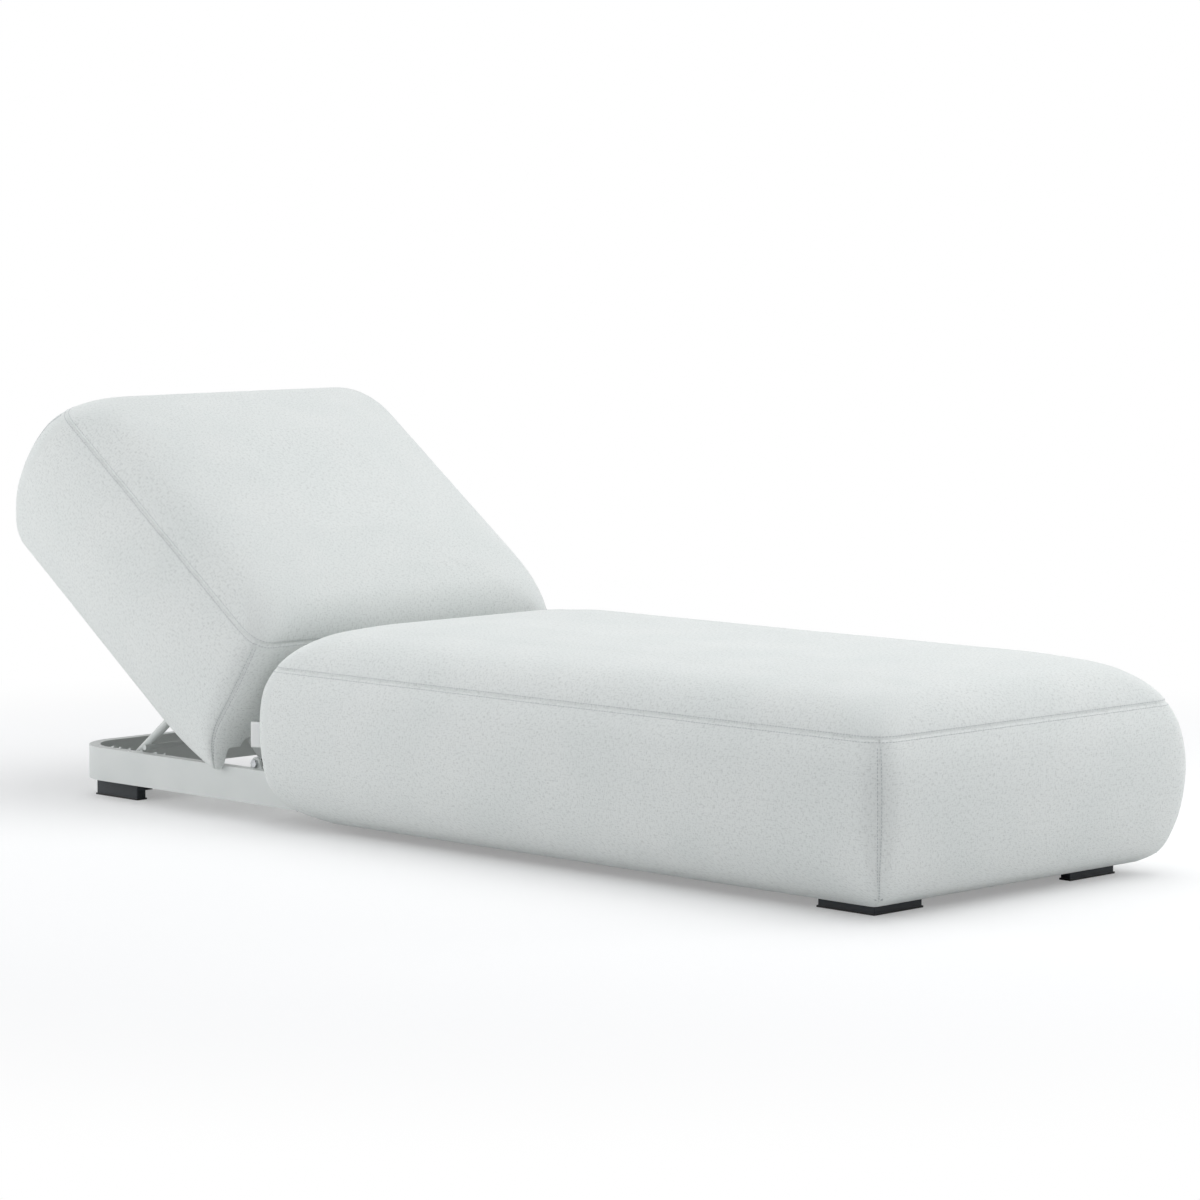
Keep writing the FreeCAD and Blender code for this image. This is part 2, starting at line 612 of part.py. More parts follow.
ROD_TRAVEL = "(hinge_level - lock_rod_diameter / 2)"
for sign in (1, -1):
    rack = start_body(f"rack_{side_name(sign)}", base_place)
    low_y, high_y = mirrored(sign, f"{INNER_HALF_WIDTH} - rack_thickness", INNER_HALF_WIDTH)
    outline = start_sketch(rack, "XZ_Plane", f"-({high_y})")
    reach = "(2 * prop_reach)"
    tip_level = f"({ROD_TRAVEL} - fit_gap)"
    rows = []
    for index in range(NOTCH_COUNT):
        angle = notch_angle(index)
        notch = f"(hinge_x - {reach} * cos({angle}))"
        floor_half = "(lock_rod_diameter / 2)"
        rows.append((f"{notch} - {floor_half} - rack_tooth_tip", tip_level))
        rows.append((f"{notch} - {floor_half}", tip_level))
        rows.append((f"{notch} - {floor_half}", f"{tip_level} - rack_notch_depth"))
        rows.append((f"{notch} + {floor_half} / 2", f"{tip_level} - rack_notch_depth"))
    last = f"(hinge_x - {reach} * cos({notch_angle(NOTCH_COUNT - 1)}))"
    rows.append((f"{last} + rack_end_margin", tip_level))
    rows.append((f"{last} + rack_end_margin + rack_tooth_tip", tip_level))
    rows.append((f"{last} + rack_end_margin + rack_tooth_tip", f"{tip_level} - rack_depth"))
    first = f"(hinge_x - {reach} * cos({notch_angle(0)}))"
    rows.append((f"{first} - rack_end_margin", f"{tip_level} - rack_depth"))
    rows.append((f"{first} - rack_end_margin", f"{tip_level} - rack_notch_depth / 2"))
    draw_outline(outline, rows)
    pad(rack, outline, "rack_thickness")

# Rubber buffers on the head rail: the backrest's middle bar lands on them when it is let down.
HEAD_RAIL_MIDDLE = "-(frame_length / 2 - tube_thickness / 2)"
buffer_solids = []
for sign in (1, -1):
    seat = place_of(HEAD_RAIL_MIDDLE, f"{sign} * buffer_row_y", RAIL_TOP)
    stem = size("backrest_bar_level") - number(RAIL_TOP) - size("fit_gap")
    radius = size("buffer_diameter") / 2
    profile = Part.makePolygon([
        FreeCAD.Vector(0, 0, 0), FreeCAD.Vector(radius, 0, 0),
        FreeCAD.Vector(radius, 0, stem - size("buffer_dome")),
        FreeCAD.Vector(radius - size("buffer_dome"), 0, stem), FreeCAD.Vector(0, 0, stem),
        FreeCAD.Vector(0, 0, 0)])
    turned = Part.Face(profile).revolve(ORIGIN, FreeCAD.Vector(0, 0, 1), 360)
    turned.translate(seat)
    buffer_solids.append(turned)
add_group("rubber_buffers", base_place, buffer_solids)

# Hinge pins, nuts and spacers. The head is on the inside of the arm, a spacer sleeve keeps the arm
# clear of the bracket, and the nut is outside the bracket, above the rail.
pins = []
nuts = []
spacers = []
for sign in (1, -1):
    outward = FreeCAD.Vector(0, sign, 0)
    arm_inner = FreeCAD.Vector(size("hinge_x"), sign * number(BAR_OUTER_Y), size("hinge_level"))
    arm_outer = FreeCAD.Vector(size("hinge_x"), sign * number(ARM_OUTER_Y), size("hinge_level"))
    plate_outer = FreeCAD.Vector(size("hinge_x"), sign * number(INNER_HALF_WIDTH), size("hinge_level"))
    radius = size("hinge_pin_diameter") / 2
    bore = radius + size("running_gap")
    head_seat = arm_inner - outward * size("running_gap")
    grip = number(f"{INNER_HALF_WIDTH} - {BAR_OUTER_Y}") + size("hinge_nut_height") + size("running_gap")
    head_radius = size("hinge_pin_head_diameter") / 2
    head = Part.makeCylinder(head_radius, size("hinge_pin_head_height"), head_seat, outward * -1)
    pins.append(head.fuse(Part.makeCylinder(radius, grip, head_seat, outward)).removeSplitter())
    nut = hexagon(plate_outer, size("hinge_nut_width"), outward).extrude(outward * size("hinge_nut_height"))
    nuts.append(nut.cut(Part.makeCylinder(bore, size("hinge_nut_height"), plate_outer, outward)))
    spacer_seat = arm_outer + outward * size("running_gap")
    length = size("hinge_spacer_length") - 2 * size("running_gap")
    sleeve = Part.makeCylinder(size("hinge_spacer_diameter") / 2, length, spacer_seat, outward)
    spacers.append(sleeve.cut(Part.makeCylinder(bore, length, spacer_seat, outward)))
add_group("hinge_pins", base_place, pins)
add_group("hinge_nuts", base_place, nuts)
add_group("hinge_spacers", base_place, spacers)

# Hinge arms: steel plates welded outside the backrest's side bars, with a flanged bush in the eye.
bushes = []
for sign in (1, -1):
    arm = start_body(f"hinge_arm_{side_name(sign)}", back_place)
    low_y, high_y = mirrored(sign, BAR_OUTER_Y, ARM_OUTER_Y)
    outline = start_sketch(arm, "XZ_Plane", f"-({high_y})")
    draw_outline(outline, [
        ("hinge_x + hinge_plate_radius / 2", "hinge_level - hinge_plate_radius / 2"),
        ("hinge_x + hinge_plate_radius / 2", "hinge_level + hinge_plate_radius / 2"),
        ("backrest_frame_start_x", f"{BAR_TOP} - tube_wall"),
        ("hinge_x - hinge_arm_length", f"{BAR_TOP} - tube_wall"),
        ("hinge_x - hinge_arm_length", f"{BAR_TOP} - backrest_bar_height / 2"),
        ("backrest_frame_start_x", "hinge_level - hinge_plate_radius + hinge_arm_rise"),
        ("hinge_x - hinge_plate_radius", "hinge_level - hinge_plate_radius"),
    ])
    pad(arm, outline, "hinge_plate_thickness")
    rod(arm, ("hinge_x", low_y, "hinge_level"), "hinge_plate_thickness", "2 * hinge_plate_radius", "Y")
    bush_bore = "hinge_pin_diameter + 2 * running_gap + 2 * hinge_bush_wall"
    rod(arm, ("hinge_x", f"{low_y} - cut_overrun", "hinge_level"),
        "hinge_plate_thickness + 2 * cut_overrun", bush_bore, "Y", "Subtractive")
    eye = FreeCAD.Vector(size("hinge_x"), number(low_y), size("hinge_level"))
    bush_radius = number(bush_bore) / 2
    ring = Part.makeCylinder(bush_radius, size("hinge_plate_thickness"), eye, ACROSS)
    hole_radius = bush_radius - size("hinge_bush_wall")
    bushes.append(ring.cut(Part.makeCylinder(hole_radius, size("hinge_plate_thickness"), eye, ACROSS)))
add_group("hinge_bushes", back_place, bushes)

# Backrest frame: two side bars with three cross bars between them, all rectangular tube.
for sign in (1, -1):
    low_y, high_y = mirrored(sign, BAR_INNER_Y, BAR_OUTER_Y)
    bar = tube_bar(f"backrest_side_bar_{side_name(sign)}", back_place,
                   ("backrest_frame_end_x", low_y, "backrest_bar_level"),
                   ("backrest_frame_start_x", high_y, BAR_TOP), "X")
    rod(bar, (PIVOT_X, f"{low_y} - cut_overrun", PIVOT_LEVEL),
        "tube_thickness + 2 * cut_overrun", "pivot_rod_diameter + 2 * running_gap", "Y", "Subtractive")
cross_bars = [
    ("backrest_lower_bar", "backrest_frame_start_x - tube_thickness"),
    ("backrest_middle_bar", "-(frame_length / 2)"),
    ("backrest_head_bar", "backrest_frame_end_x"),
]
for label, start_x in cross_bars:
    tube_bar(label, back_place, (start_x, f"-{BAR_INNER_Y}", "backrest_bar_level"),
             (f"{start_x} + tube_thickness", BAR_INNER_Y, BAR_TOP), "Y")

# Backrest board: plywood on the bars, under the cushion.
board = start_body("backrest_board", back_place)
outline = start_sketch(board, "XY_Plane", BAR_TOP)
draw_rounded(outline, "backrest_frame_end_x", "backrest_frame_start_x",
             f"-({BAR_OUTER_Y} + backrest_board_margin)", f"{BAR_OUTER_Y} + backrest_board_margin",
             "backrest_board_corner")
pad(board, outline, "board_thickness")

# Pivot rod of the prop: it runs across the backrest frame and its ends carry the struts. Each strut
# turns next to the side bar, and a collar keeps it on the rod.
STRUT_OUTER_Y = "(prop_half_spread + strut_diameter / 2)"
ROD_HALF = f"({STRUT_OUTER_Y} + fit_gap + collar_length)"
pivot_rod = start_body("prop_pivot_rod", back_place)
rod(pivot_rod, (PIVOT_X, f"-{ROD_HALF}", PIVOT_LEVEL), f"2 * {ROD_HALF}", "pivot_rod_diameter", "Y")
collars = []
for sign in (1, -1):
    outward = FreeCAD.Vector(0, sign, 0)
    bore = size("pivot_rod_diameter") / 2 + size("running_gap")
    start_y = number(f"{STRUT_OUTER_Y} + fit_gap")
    seat_point = FreeCAD.Vector(pivot_flat.x, sign * start_y, pivot_flat.z)
    ring = Part.makeCylinder(bore + size("collar_wall"), size("collar_length"), seat_point, outward)
    collars.append(ring.cut(Part.makeCylinder(bore, size("collar_length"), seat_point, outward)))
add_group("prop_pivot_collars", back_place, collars)

# Prop: two struts of round bar that hang from the pivot rod. The lock rod is welded under both
# struts and stands behind a tooth of each rack. The struts are drawn from the pivot towards -X, and
# turned so that the line from the pivot to the lock rod has the prop's own slope.
prop_tilt = math.degrees(math.asin(number("(strut_diameter + lock_rod_diameter) / 2") / size("prop_reach")))
strut_turn = FreeCAD.Placement(ORIGIN, FreeCAD.Rotation(ACROSS, prop_tilt))
strut_place = prop_place.multiply(strut_turn)
ROD_RUN = "sqrt(prop_reach ^ 2 - ((strut_diameter + lock_rod_diameter) / 2) ^ 2)"
for sign in (1, -1):
    centre_y = f"{sign} * prop_half_spread"
    strut = start_body(f"prop_strut_{side_name(sign)}", strut_place)
    total = f"(strut_head + {ROD_RUN} + strut_tail)"
    start_x = f"-({ROD_RUN} + strut_tail)"
    rod(strut, (start_x, centre_y, "0"), total, "strut_diameter", "X")
    rod(strut, ("0", f"{centre_y} - strut_diameter", "0"), "2 * strut_diameter",
        "pivot_rod_diameter + 2 * running_gap", "Y", "Subtractive")
lock_rod = start_body("prop_lock_rod", strut_place)
LOCK_HALF = f"({INNER_HALF_WIDTH} - fit_gap)"
rod(lock_rod, (f"-{ROD_RUN}", f"-{LOCK_HALF}", "-(strut_diameter + lock_rod_diameter) / 2"),
    f"2 * {LOCK_HALF}", "lock_rod_diameter", "Y")


# Cushions: a fitted cover over foam, lofted through level outlines from the hem to the crown. The
# sides draw in above and below the widest level and the top swells to a crown.


def draw_soft_outline(sketch, low_x, high_x, side_y, radius):
    """Closed rectangle whose corners turn in a few even steps on an arc."""
    corners = [(high_x, 1, -1), (high_x, 1, 1), (low_x, -1, 1), (low_x, -1, -1)]
    points = []
    for quarter_turn, (end_x, x_sign, y_sign) in enumerate(corners, start=-1):
        for step in range(CORNER_STEPS + 1):
            angle = 90 * (quarter_turn + step / CORNER_STEPS)
            points.append((f"({end_x}) + {radius} * (cos({angle}) - {x_sign})",
                           f"{y_sign} * {side_y} + {radius} * (sin({angle}) - {y_sign})"))
    draw_outline(sketch, points)


def cushion(label, place, low_x, high_x, hem_level, total_height, level_shares):
    body = start_body(label, place)
    sections = []
    widest = f"({HALF_WIDTH} + cushion_overhang)"
    for height, side_in, foot_in, head_in, corner in level_shares:
        section = start_sketch(body, "XY_Plane", f"{hem_level} + {total_height} * {height}")
        head_x = f"({low_x}) + {total_height} * {head_in}"
        foot_x = f"({high_x}) - {total_height} * {foot_in}"
        side_y = f"({widest} - {total_height} * {side_in})"
        draw_soft_outline(section, head_x, foot_x, side_y, f"{total_height} * {corner}")
        sections.append(section)
    loft = body.newObject("PartDesign::AdditiveLoft", "padding")
    loft.Profile = sections[0]
    loft.Sections = sections[1:]
    loft.Ruled = True
    document.recompute()
    return body


seat = cushion("seat_cushion", base_place, "seat_head_x", f"{HALF_LENGTH} + cushion_overhang",
               "seat_hem_level", "seat_cushion_height", SEAT_SHARES)
# The frame and the deck fill the seat cushion from below, and its hem is tucked under the rails.
recess = start_sketch(seat, "XY_Plane", "frame_level - fit_gap")
OPEN_END = "(seat_head_x - seat_cushion_height)"
draw_rounded(recess, OPEN_END, f"{HALF_LENGTH} + fit_gap", f"-({HALF_WIDTH} + fit_gap)",
             f"{HALF_WIDTH} + fit_gap", "bend_radius")
pocket(seat, recess, "rail_height + 2 * fit_gap", True)
opening = start_sketch(seat, "XY_Plane", "frame_level")
draw_rounded(opening, OPEN_END, f"{HALF_LENGTH} - hem_tuck", f"-({HALF_WIDTH} - hem_tuck)",
             f"{HALF_WIDTH} - hem_tuck", "foot_leg_thickness")
pocket(seat, opening, "frame_level + cut_overrun")
deck_recess = start_sketch(seat, "XY_Plane", RAIL_TOP)
draw_rounded(deck_recess, "deck_start_x - fit_gap", "deck_end_x + fit_gap",
             f"-({HALF_WIDTH} - deck_margin / 2 + fit_gap)", f"{HALF_WIDTH} - deck_margin / 2 + fit_gap",
             "deck_corner")
pocket(seat, deck_recess, "board_thickness + fit_gap", True)

back = cushion("backrest_cushion", back_place, "back_head_x", "back_foot_x", "back_hem_level",
               "back_cushion_height", BACK_SHARES)
# The backrest cushion is open below, so that its skirts pass outside the rails when it lies flat.
pocket_outline = start_sketch(back, "XY_Plane", "back_hem_level - cut_overrun")
draw_rounded(pocket_outline, "backrest_frame_end_x - fit_gap", "back_foot_x + back_cushion_height",
             f"-({HALF_WIDTH} + back_pocket_margin)", f"{HALF_WIDTH} + back_pocket_margin",
             "back_pocket_corner")
pocket(back, pocket_outline, f"{BAR_TOP} + board_thickness + fit_gap - back_hem_level + cut_overrun", True)

# Fabric tab: sewn into the seam of the seat cushion's corner at the head end, on the near side. Its
# inner edge follows the cushion's side, which draws in towards the hem.


def corner_depth(row):
    """How far the cushion's corner lies inside the widest outline at one of its levels, seen along
    the diagonal."""
    height, side_in, foot_in, head_in, corner = row
    rounding = corner * (2 - math.sqrt(2))
    return size("seat_cushion_height") * (side_in + head_in + rounding) / math.sqrt(2)


lower_row, widest_row = [
    (row, following) for row, following in zip(SEAT_SHARES, SEAT_SHARES[1:]) if following[1] == 0
][0]
hem_level = size("seat_hem_level")
lower_level = hem_level + size("seat_cushion_height") * lower_row[0]
widest_level = hem_level + size("seat_cushion_height") * widest_row[0]
low_level = size("tab_level")
high_level = low_level + size("tab_height")
share_below = (widest_level - low_level) / (widest_level - lower_level)
drawn_in = (corner_depth(lower_row) - corner_depth(widest_row)) * share_below
square_corner = FreeCAD.Vector(size("seat_head_x"), -number(f"{HALF_WIDTH} + cushion_overhang"), 0)
outward = FreeCAD.Vector(-1, -1, 0).normalize()
sideways = FreeCAD.Vector(1, -1, 0).normalize()
corner_point = square_corner - outward * corner_depth(widest_row)
tab_points = [
    corner_point + outward * (size("fit_gap") - drawn_in) + upward * low_level,
    corner_point + outward * size("fit_gap") + upward * widest_level,
    corner_point + outward * size("fit_gap") + upward * high_level,
    corner_point + outward * size("tab_length") + upward * high_level,
    corner_point + outward * size("tab_length") + upward * low_level,
]
tab_face = Part.Face(Part.makePolygon(tab_points + tab_points[:1]))
tab = tab_face.extrude(sideways * size("tab_thickness"))
tab.translate(sideways * (size("tab_thickness") / -2))
add_group("fabric_tab", base_place, [tab])

document.recompute()

for item in document.Objects:
    if "Invalid" in item.State or "Error" in item.State:
        raise RuntimeError(f"{item.Name} of {item.Label} did not build: {item.State}")

os.makedirs("parts", exist_ok=True)
for part in parts:
    shape = part.Shape
    if shape.isNull() or not shape.isValid() or not shape.Solids:
        raise RuntimeError(f"{part.Label} has no valid shape")
    shape.exportStep(f"parts/{part.Label}.step")
print(len(parts), "pieces written")
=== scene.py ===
import json
import math

import bpy
import numpy as np
from mathutils import Matrix, Vector, noise


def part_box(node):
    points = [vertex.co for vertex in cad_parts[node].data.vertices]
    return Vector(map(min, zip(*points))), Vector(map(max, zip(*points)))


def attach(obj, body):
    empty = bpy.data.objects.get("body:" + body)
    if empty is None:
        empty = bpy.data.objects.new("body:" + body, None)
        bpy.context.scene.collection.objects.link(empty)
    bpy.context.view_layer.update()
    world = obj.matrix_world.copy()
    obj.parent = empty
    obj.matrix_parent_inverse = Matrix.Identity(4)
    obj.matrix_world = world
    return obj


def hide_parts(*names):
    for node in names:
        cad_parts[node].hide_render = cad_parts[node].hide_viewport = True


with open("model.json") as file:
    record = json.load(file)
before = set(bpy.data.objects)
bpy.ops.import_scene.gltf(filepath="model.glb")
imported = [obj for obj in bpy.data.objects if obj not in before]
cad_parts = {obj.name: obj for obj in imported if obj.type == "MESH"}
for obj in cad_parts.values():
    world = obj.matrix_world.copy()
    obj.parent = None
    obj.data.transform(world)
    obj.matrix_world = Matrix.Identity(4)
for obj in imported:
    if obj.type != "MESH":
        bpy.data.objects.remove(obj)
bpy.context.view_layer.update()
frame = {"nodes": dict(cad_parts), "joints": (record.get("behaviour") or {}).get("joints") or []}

# Main frame: rectangular steel tube, bent at the four corners and welded, then shot-blasted and
# powder coated a satin light grey. The coating hides the welds and leaves a fine orange-peel skin.


def hex_colour(text):
    """An sRGB hex colour as linear RGBA."""
    channels = [int(text[index:index + 2], 16) / 255 for index in (1, 3, 5)]
    linear = [c / 12.92 if c <= 0.04045 else ((c + 0.055) / 1.055) ** 2.4 for c in channels]
    return (*linear, 1.0)


def add_node(tree, kind, settings=None, inputs=None, stops=()):
    """A node with its settings. An input is a value or the output socket that it is linked to, and
    a stop is the place and colour of one end of a colour ramp."""
    node = tree.nodes.new(kind)
    for name, value in (settings or {}).items():
        setattr(node, name, value)
    for index, (position, colour) in enumerate(stops):
        node.color_ramp.elements[index].position = position
        node.color_ramp.elements[index].color = hex_colour(colour)
    for name, value in (inputs or {}).items():
        socket = node.inputs[name]
        if isinstance(value, bpy.types.NodeSocket):
            tree.links.new(value, socket)
        else:
            socket.default_value = value
    return node


def new_material(name):
    """An empty material with its Principled shader."""
    material = bpy.data.materials.new(name)
    material.use_nodes = True
    return material, material.node_tree, material.node_tree.nodes["Principled BSDF"]


def give_material(names, material):
    for name in names:
        slots = frame["nodes"][name].data.materials
        slots.clear()
        slots.append(material)


# Powder coat: an even satin plastic film, with a faint orange peel about 1.5 mm across and slightly
# duller patches where hands and cloths have passed.
powder_coat, tree, shader = new_material("grey powder coat")
place = add_node(tree, "ShaderNodeTexCoord").outputs["Object"]
peel = add_node(tree, "ShaderNodeTexNoise", inputs={"Vector": place, "Scale": 650.0, "Detail": 2.0})
wear = add_node(tree, "ShaderNodeTexNoise", inputs={"Vector": place, "Scale": 9.0, "Detail": 4.0})
shade = add_node(tree, "ShaderNodeValToRGB", inputs={"Fac": wear.outputs["Fac"]},
                 stops=((0.3, "#d3d7d5"), (0.7, "#dadddb")))
tree.links.new(shade.outputs["Color"], shader.inputs["Base Color"])
dullness = add_node(tree, "ShaderNodeMapRange",
                    inputs={"Value": wear.outputs["Fac"], "To Min": 0.36, "To Max": 0.5})
tree.links.new(dullness.outputs["Result"], shader.inputs["Roughness"])
bump = add_node(tree, "ShaderNodeBump",
                inputs={"Height": peel.outputs["Fac"], "Strength": 0.12, "Distance": 0.0004})
tree.links.new(bump.outputs["Normal"], shader.inputs["Normal"])
frame_names = [name for name in frame["nodes"]
               if "rail" in name or name.startswith(("corner_plate", "hinge_bracket", "rack_"))]
give_material(frame_names, powder_coat)

# Corner feet: L-shaped blocks of steel, powder coated charcoal with a sandy texture of about 1 mm,
# each standing on a thin glide that is stuck under it.
sand_coat, tree, shader = new_material("charcoal textured powder coat")
place = add_node(tree, "ShaderNodeTexCoord").outputs["Object"]
grit = add_node(tree, "ShaderNodeTexNoise", inputs={"Vector": place, "Scale": 900.0, "Detail": 3.0})
shade = add_node(tree, "ShaderNodeValToRGB", inputs={"Fac": grit.outputs["Fac"]},
                 stops=((0.35, "#25292d"), (0.7, "#343a3f")))
tree.links.new(shade.outputs["Color"], shader.inputs["Base Color"])
shader.inputs["Roughness"].default_value = 0.55
bump = add_node(tree, "ShaderNodeBump",
                inputs={"Height": grit.outputs["Fac"], "Strength": 0.3, "Distance": 0.0004})
tree.links.new(bump.outputs["Normal"], shader.inputs["Normal"])
foot_names = [name for name in frame["nodes"]
              if name.startswith("foot_") and name.endswith(("_left", "_right")) and "glide" not in name]
give_material(foot_names, sand_coat)

# Glides, and the bushes and spacers of the hinge: black nylon, injection moulded. It is smooth, with
# scuffs about 8 mm long.
nylon, tree, shader = new_material("black nylon")
place = add_node(tree, "ShaderNodeTexCoord").outputs["Object"]
scuffs = add_node(tree, "ShaderNodeTexNoise", inputs={"Vector": place, "Scale": 120.0, "Detail": 5.0})
shade = add_node(tree, "ShaderNodeValToRGB", inputs={"Fac": scuffs.outputs["Fac"]},
                 stops=((0.4, "#141516"), (0.75, "#26282a")))
tree.links.new(shade.outputs["Color"], shader.inputs["Base Color"])
rough = add_node(tree, "ShaderNodeMapRange",
                 inputs={"Value": scuffs.outputs["Fac"], "To Min": 0.35, "To Max": 0.6})
tree.links.new(rough.outputs["Result"], shader.inputs["Roughness"])
glide_names = [name for name in frame["nodes"] if "glide" in name]
give_material(glide_names + ["hinge_bushes", "hinge_spacers"], nylon)

# Fasteners: the foot screws, the pins and nuts of the hinge and the collars of the prop's pivot are
# turned steel, bright zinc plated. The plating is cloudy over about 17 mm, with fine turning marks.
zinc, tree, shader = new_material("bright zinc plated steel")
place = add_node(tree, "ShaderNodeTexCoord").outputs["Object"]
cloud = add_node(tree, "ShaderNodeTexNoise", inputs={"Vector": place, "Scale": 60.0, "Detail": 4.0})
shade = add_node(tree, "ShaderNodeValToRGB", inputs={"Fac": cloud.outputs["Fac"]},
                 stops=((0.3, "#b4b7ba"), (0.75, "#cfd2d4")))
tree.links.new(shade.outputs["Color"], shader.inputs["Base Color"])
shader.inputs["Metallic"].default_value = 1.0
rough = add_node(tree, "ShaderNodeMapRange",
                 inputs={"Value": cloud.outputs["Fac"], "To Min": 0.24, "To Max": 0.42})
tree.links.new(rough.outputs["Result"], shader.inputs["Roughness"])
scratch = add_node(tree, "ShaderNodeTexNoise", inputs={"Vector": place, "Scale": 1400.0, "Detail": 1.0})
bump = add_node(tree, "ShaderNodeBump",
                inputs={"Height": scratch.outputs["Fac"], "Strength": 0.08, "Distance": 0.0002})
tree.links.new(bump.outputs["Normal"], shader.inputs["Normal"])
give_material(["foot_screws", "hinge_pins", "hinge_nuts", "prop_pivot_collars"], zinc)

# Rubber buffers: two small moulded bumpers that stand on the head rail, where the backrest lands on
# them. They are matt, with a faint bloom in patches of about 11 mm.
rubber, tree, shader = new_material("moulded rubber")
place = add_node(tree, "ShaderNodeTexCoord").outputs["Object"]
bloom = add_node(tree, "ShaderNodeTexNoise", inputs={"Vector": place, "Scale": 90.0, "Detail": 4.0})
shade = add_node(tree, "ShaderNodeValToRGB", inputs={"Fac": bloom.outputs["Fac"]},
                 stops=((0.35, "#1b1b1b"), (0.7, "#303030")))
tree.links.new(shade.outputs["Color"], shader.inputs["Base Color"])
shader.inputs["Roughness"].default_value = 0.8
give_material(["rubber_buffers"], rubber)

# Backrest frame and prop: rectangular tube with flat hinge arms, and struts, pivot rod and lock rod
# of round bar, all in the same grey coating as the main frame.
back_frame_names = [name for name in frame["nodes"] if name.startswith(("backrest_side", "hinge_arm"))
                    or name in ("backrest_lower_bar", "backrest_middle_bar", "backrest_head_bar")]
prop_names = ["prop_pivot_rod", "prop_strut_left", "prop_strut_right", "prop_lock_rod"]
give_material(back_frame_names + prop_names, powder_coat)

# Seat deck and backrest board: birch plywood, sawn and sanded, under a matt grey stain that lets its
# long grain show. The grain runs lengthwise, in streaks about 17 mm wide.
plywood, tree, shader = new_material("grey stained birch plywood")
place = add_node(tree, "ShaderNodeTexCoord").outputs["Object"]
long_grain = add_node(tree, "ShaderNodeMapping", inputs={"Vector": place, "Scale": (2.0, 60.0, 60.0)})
grain = add_node(tree, "ShaderNodeTexNoise", inputs={"Vector": long_grain.outputs["Vector"], "Scale": 1.0,
                                                      "Detail": 6.0, "Roughness": 0.6})
shade = add_node(tree, "ShaderNodeValToRGB", inputs={"Fac": grain.outputs["Fac"]},
                 stops=((0.3, "#9fa09c"), (0.72, "#bcbdb8")))
tree.links.new(shade.outputs["Color"], shader.inputs["Base Color"])
shader.inputs["Roughness"].default_value = 0.62
bump = add_node(tree, "ShaderNodeBump",
                inputs={"Height": grain.outputs["Fac"], "Strength": 0.2, "Distance": 0.0005})
tree.links.new(bump.outputs["Normal"], shader.inputs["Normal"])
give_material(["seat_deck_board", "backrest_board"], plywood)

# Upholstery cloth: a plain weave of off-white and pale grey yarns, with short darker streaks along
# both thread directions. The real threads are 0.6 mm apart and too fine to show, so the weave is
# drawn at 1.8 mm and the streaks at 2.5 by 7 mm.
cloth, tree, shader = new_material("off-white woven upholstery cloth")
cut = add_node(tree, "ShaderNodeUVMap", {"uv_map": "cloth"}).outputs["UV"]
streaks = []
threads = []
for direction, stretch in (("X", (400.0, 140.0, 1.0)), ("Y", (140.0, 400.0, 1.0))):
    stretched = add_node(tree, "ShaderNodeMapping", inputs={"Vector": cut, "Scale": stretch})
    streak = add_node(tree, "ShaderNodeTexNoise",
                      inputs={"Vector": stretched.outputs["Vector"], "Scale": 1.0, "Detail": 3.0,
                              "Roughness": 0.7})
    streaks.append(streak.outputs["Fac"])
    bands = add_node(tree, "ShaderNodeTexWave", {"bands_direction": direction},
                     {"Vector": cut, "Scale": 87.0, "Distortion": 1.2, "Detail": 2.0, "Detail Scale": 60.0})
    centred = add_node(tree, "ShaderNodeMath", {"operation": "SUBTRACT"}, {0: bands.outputs["Fac"], 1: 0.5})
    threads.append(centred.outputs["Value"])
heather = add_node(tree, "ShaderNodeMath", {"operation": "ADD"}, {0: streaks[0], 1: streaks[1]})
fleck_shade = add_node(tree, "ShaderNodeValToRGB", inputs={"Fac": heather.outputs["Value"]},
                       stops=((0.8, "#d0d3d1"), (1.0, "#e4e7e5")))
cloudy = add_node(tree, "ShaderNodeTexNoise", inputs={"Vector": cut, "Scale": 6.0, "Detail": 3.0})
cloud_shade = add_node(tree, "ShaderNodeValToRGB", inputs={"Fac": cloudy.outputs["Fac"]},
                       stops=((0.35, "#fbfcfc"), (0.65, "#ffffff")))
mixed = add_node(tree, "ShaderNodeMix", {"data_type": "RGBA", "blend_type": "MULTIPLY"})
tree.links.new(fleck_shade.outputs["Color"], mixed.inputs["A"])
tree.links.new(cloud_shade.outputs["Color"], mixed.inputs["B"])
mixed.inputs["Factor"].default_value = 1.0
tree.links.new(mixed.outputs["Result"], shader.inputs["Base Color"])
shader.inputs["Roughness"].default_value = 0.92
shader.inputs["Specular IOR Level"].default_value = 0.25
shader.inputs["Sheen Weight"].default_value = 0.12
shader.inputs["Sheen Roughness"].default_value = 0.5
crossing = add_node(tree, "ShaderNodeMath", {"operation": "MULTIPLY"}, {0: threads[0], 1: threads[1]})
height = add_node(tree, "ShaderNodeMath", {"operation": "ADD"}, {0: crossing.outputs["Value"],
                                                                 1: heather.outputs["Value"]})
bump = add_node(tree, "ShaderNodeBump", inputs={"Height": height.outputs["Value"], "Strength": 0.3,
                                                 "Distance": 0.0005})
tree.links.new(bump.outputs["Normal"], shader.inputs["Normal"])

# Seat cushion: a deep block of foam in a fitted cover. A top panel is joined to the side band by a
# flat seam all round, the band has an upright seam at each corner, and its hem is tucked under the
# frame. The filling presses the cloth out between the seams.

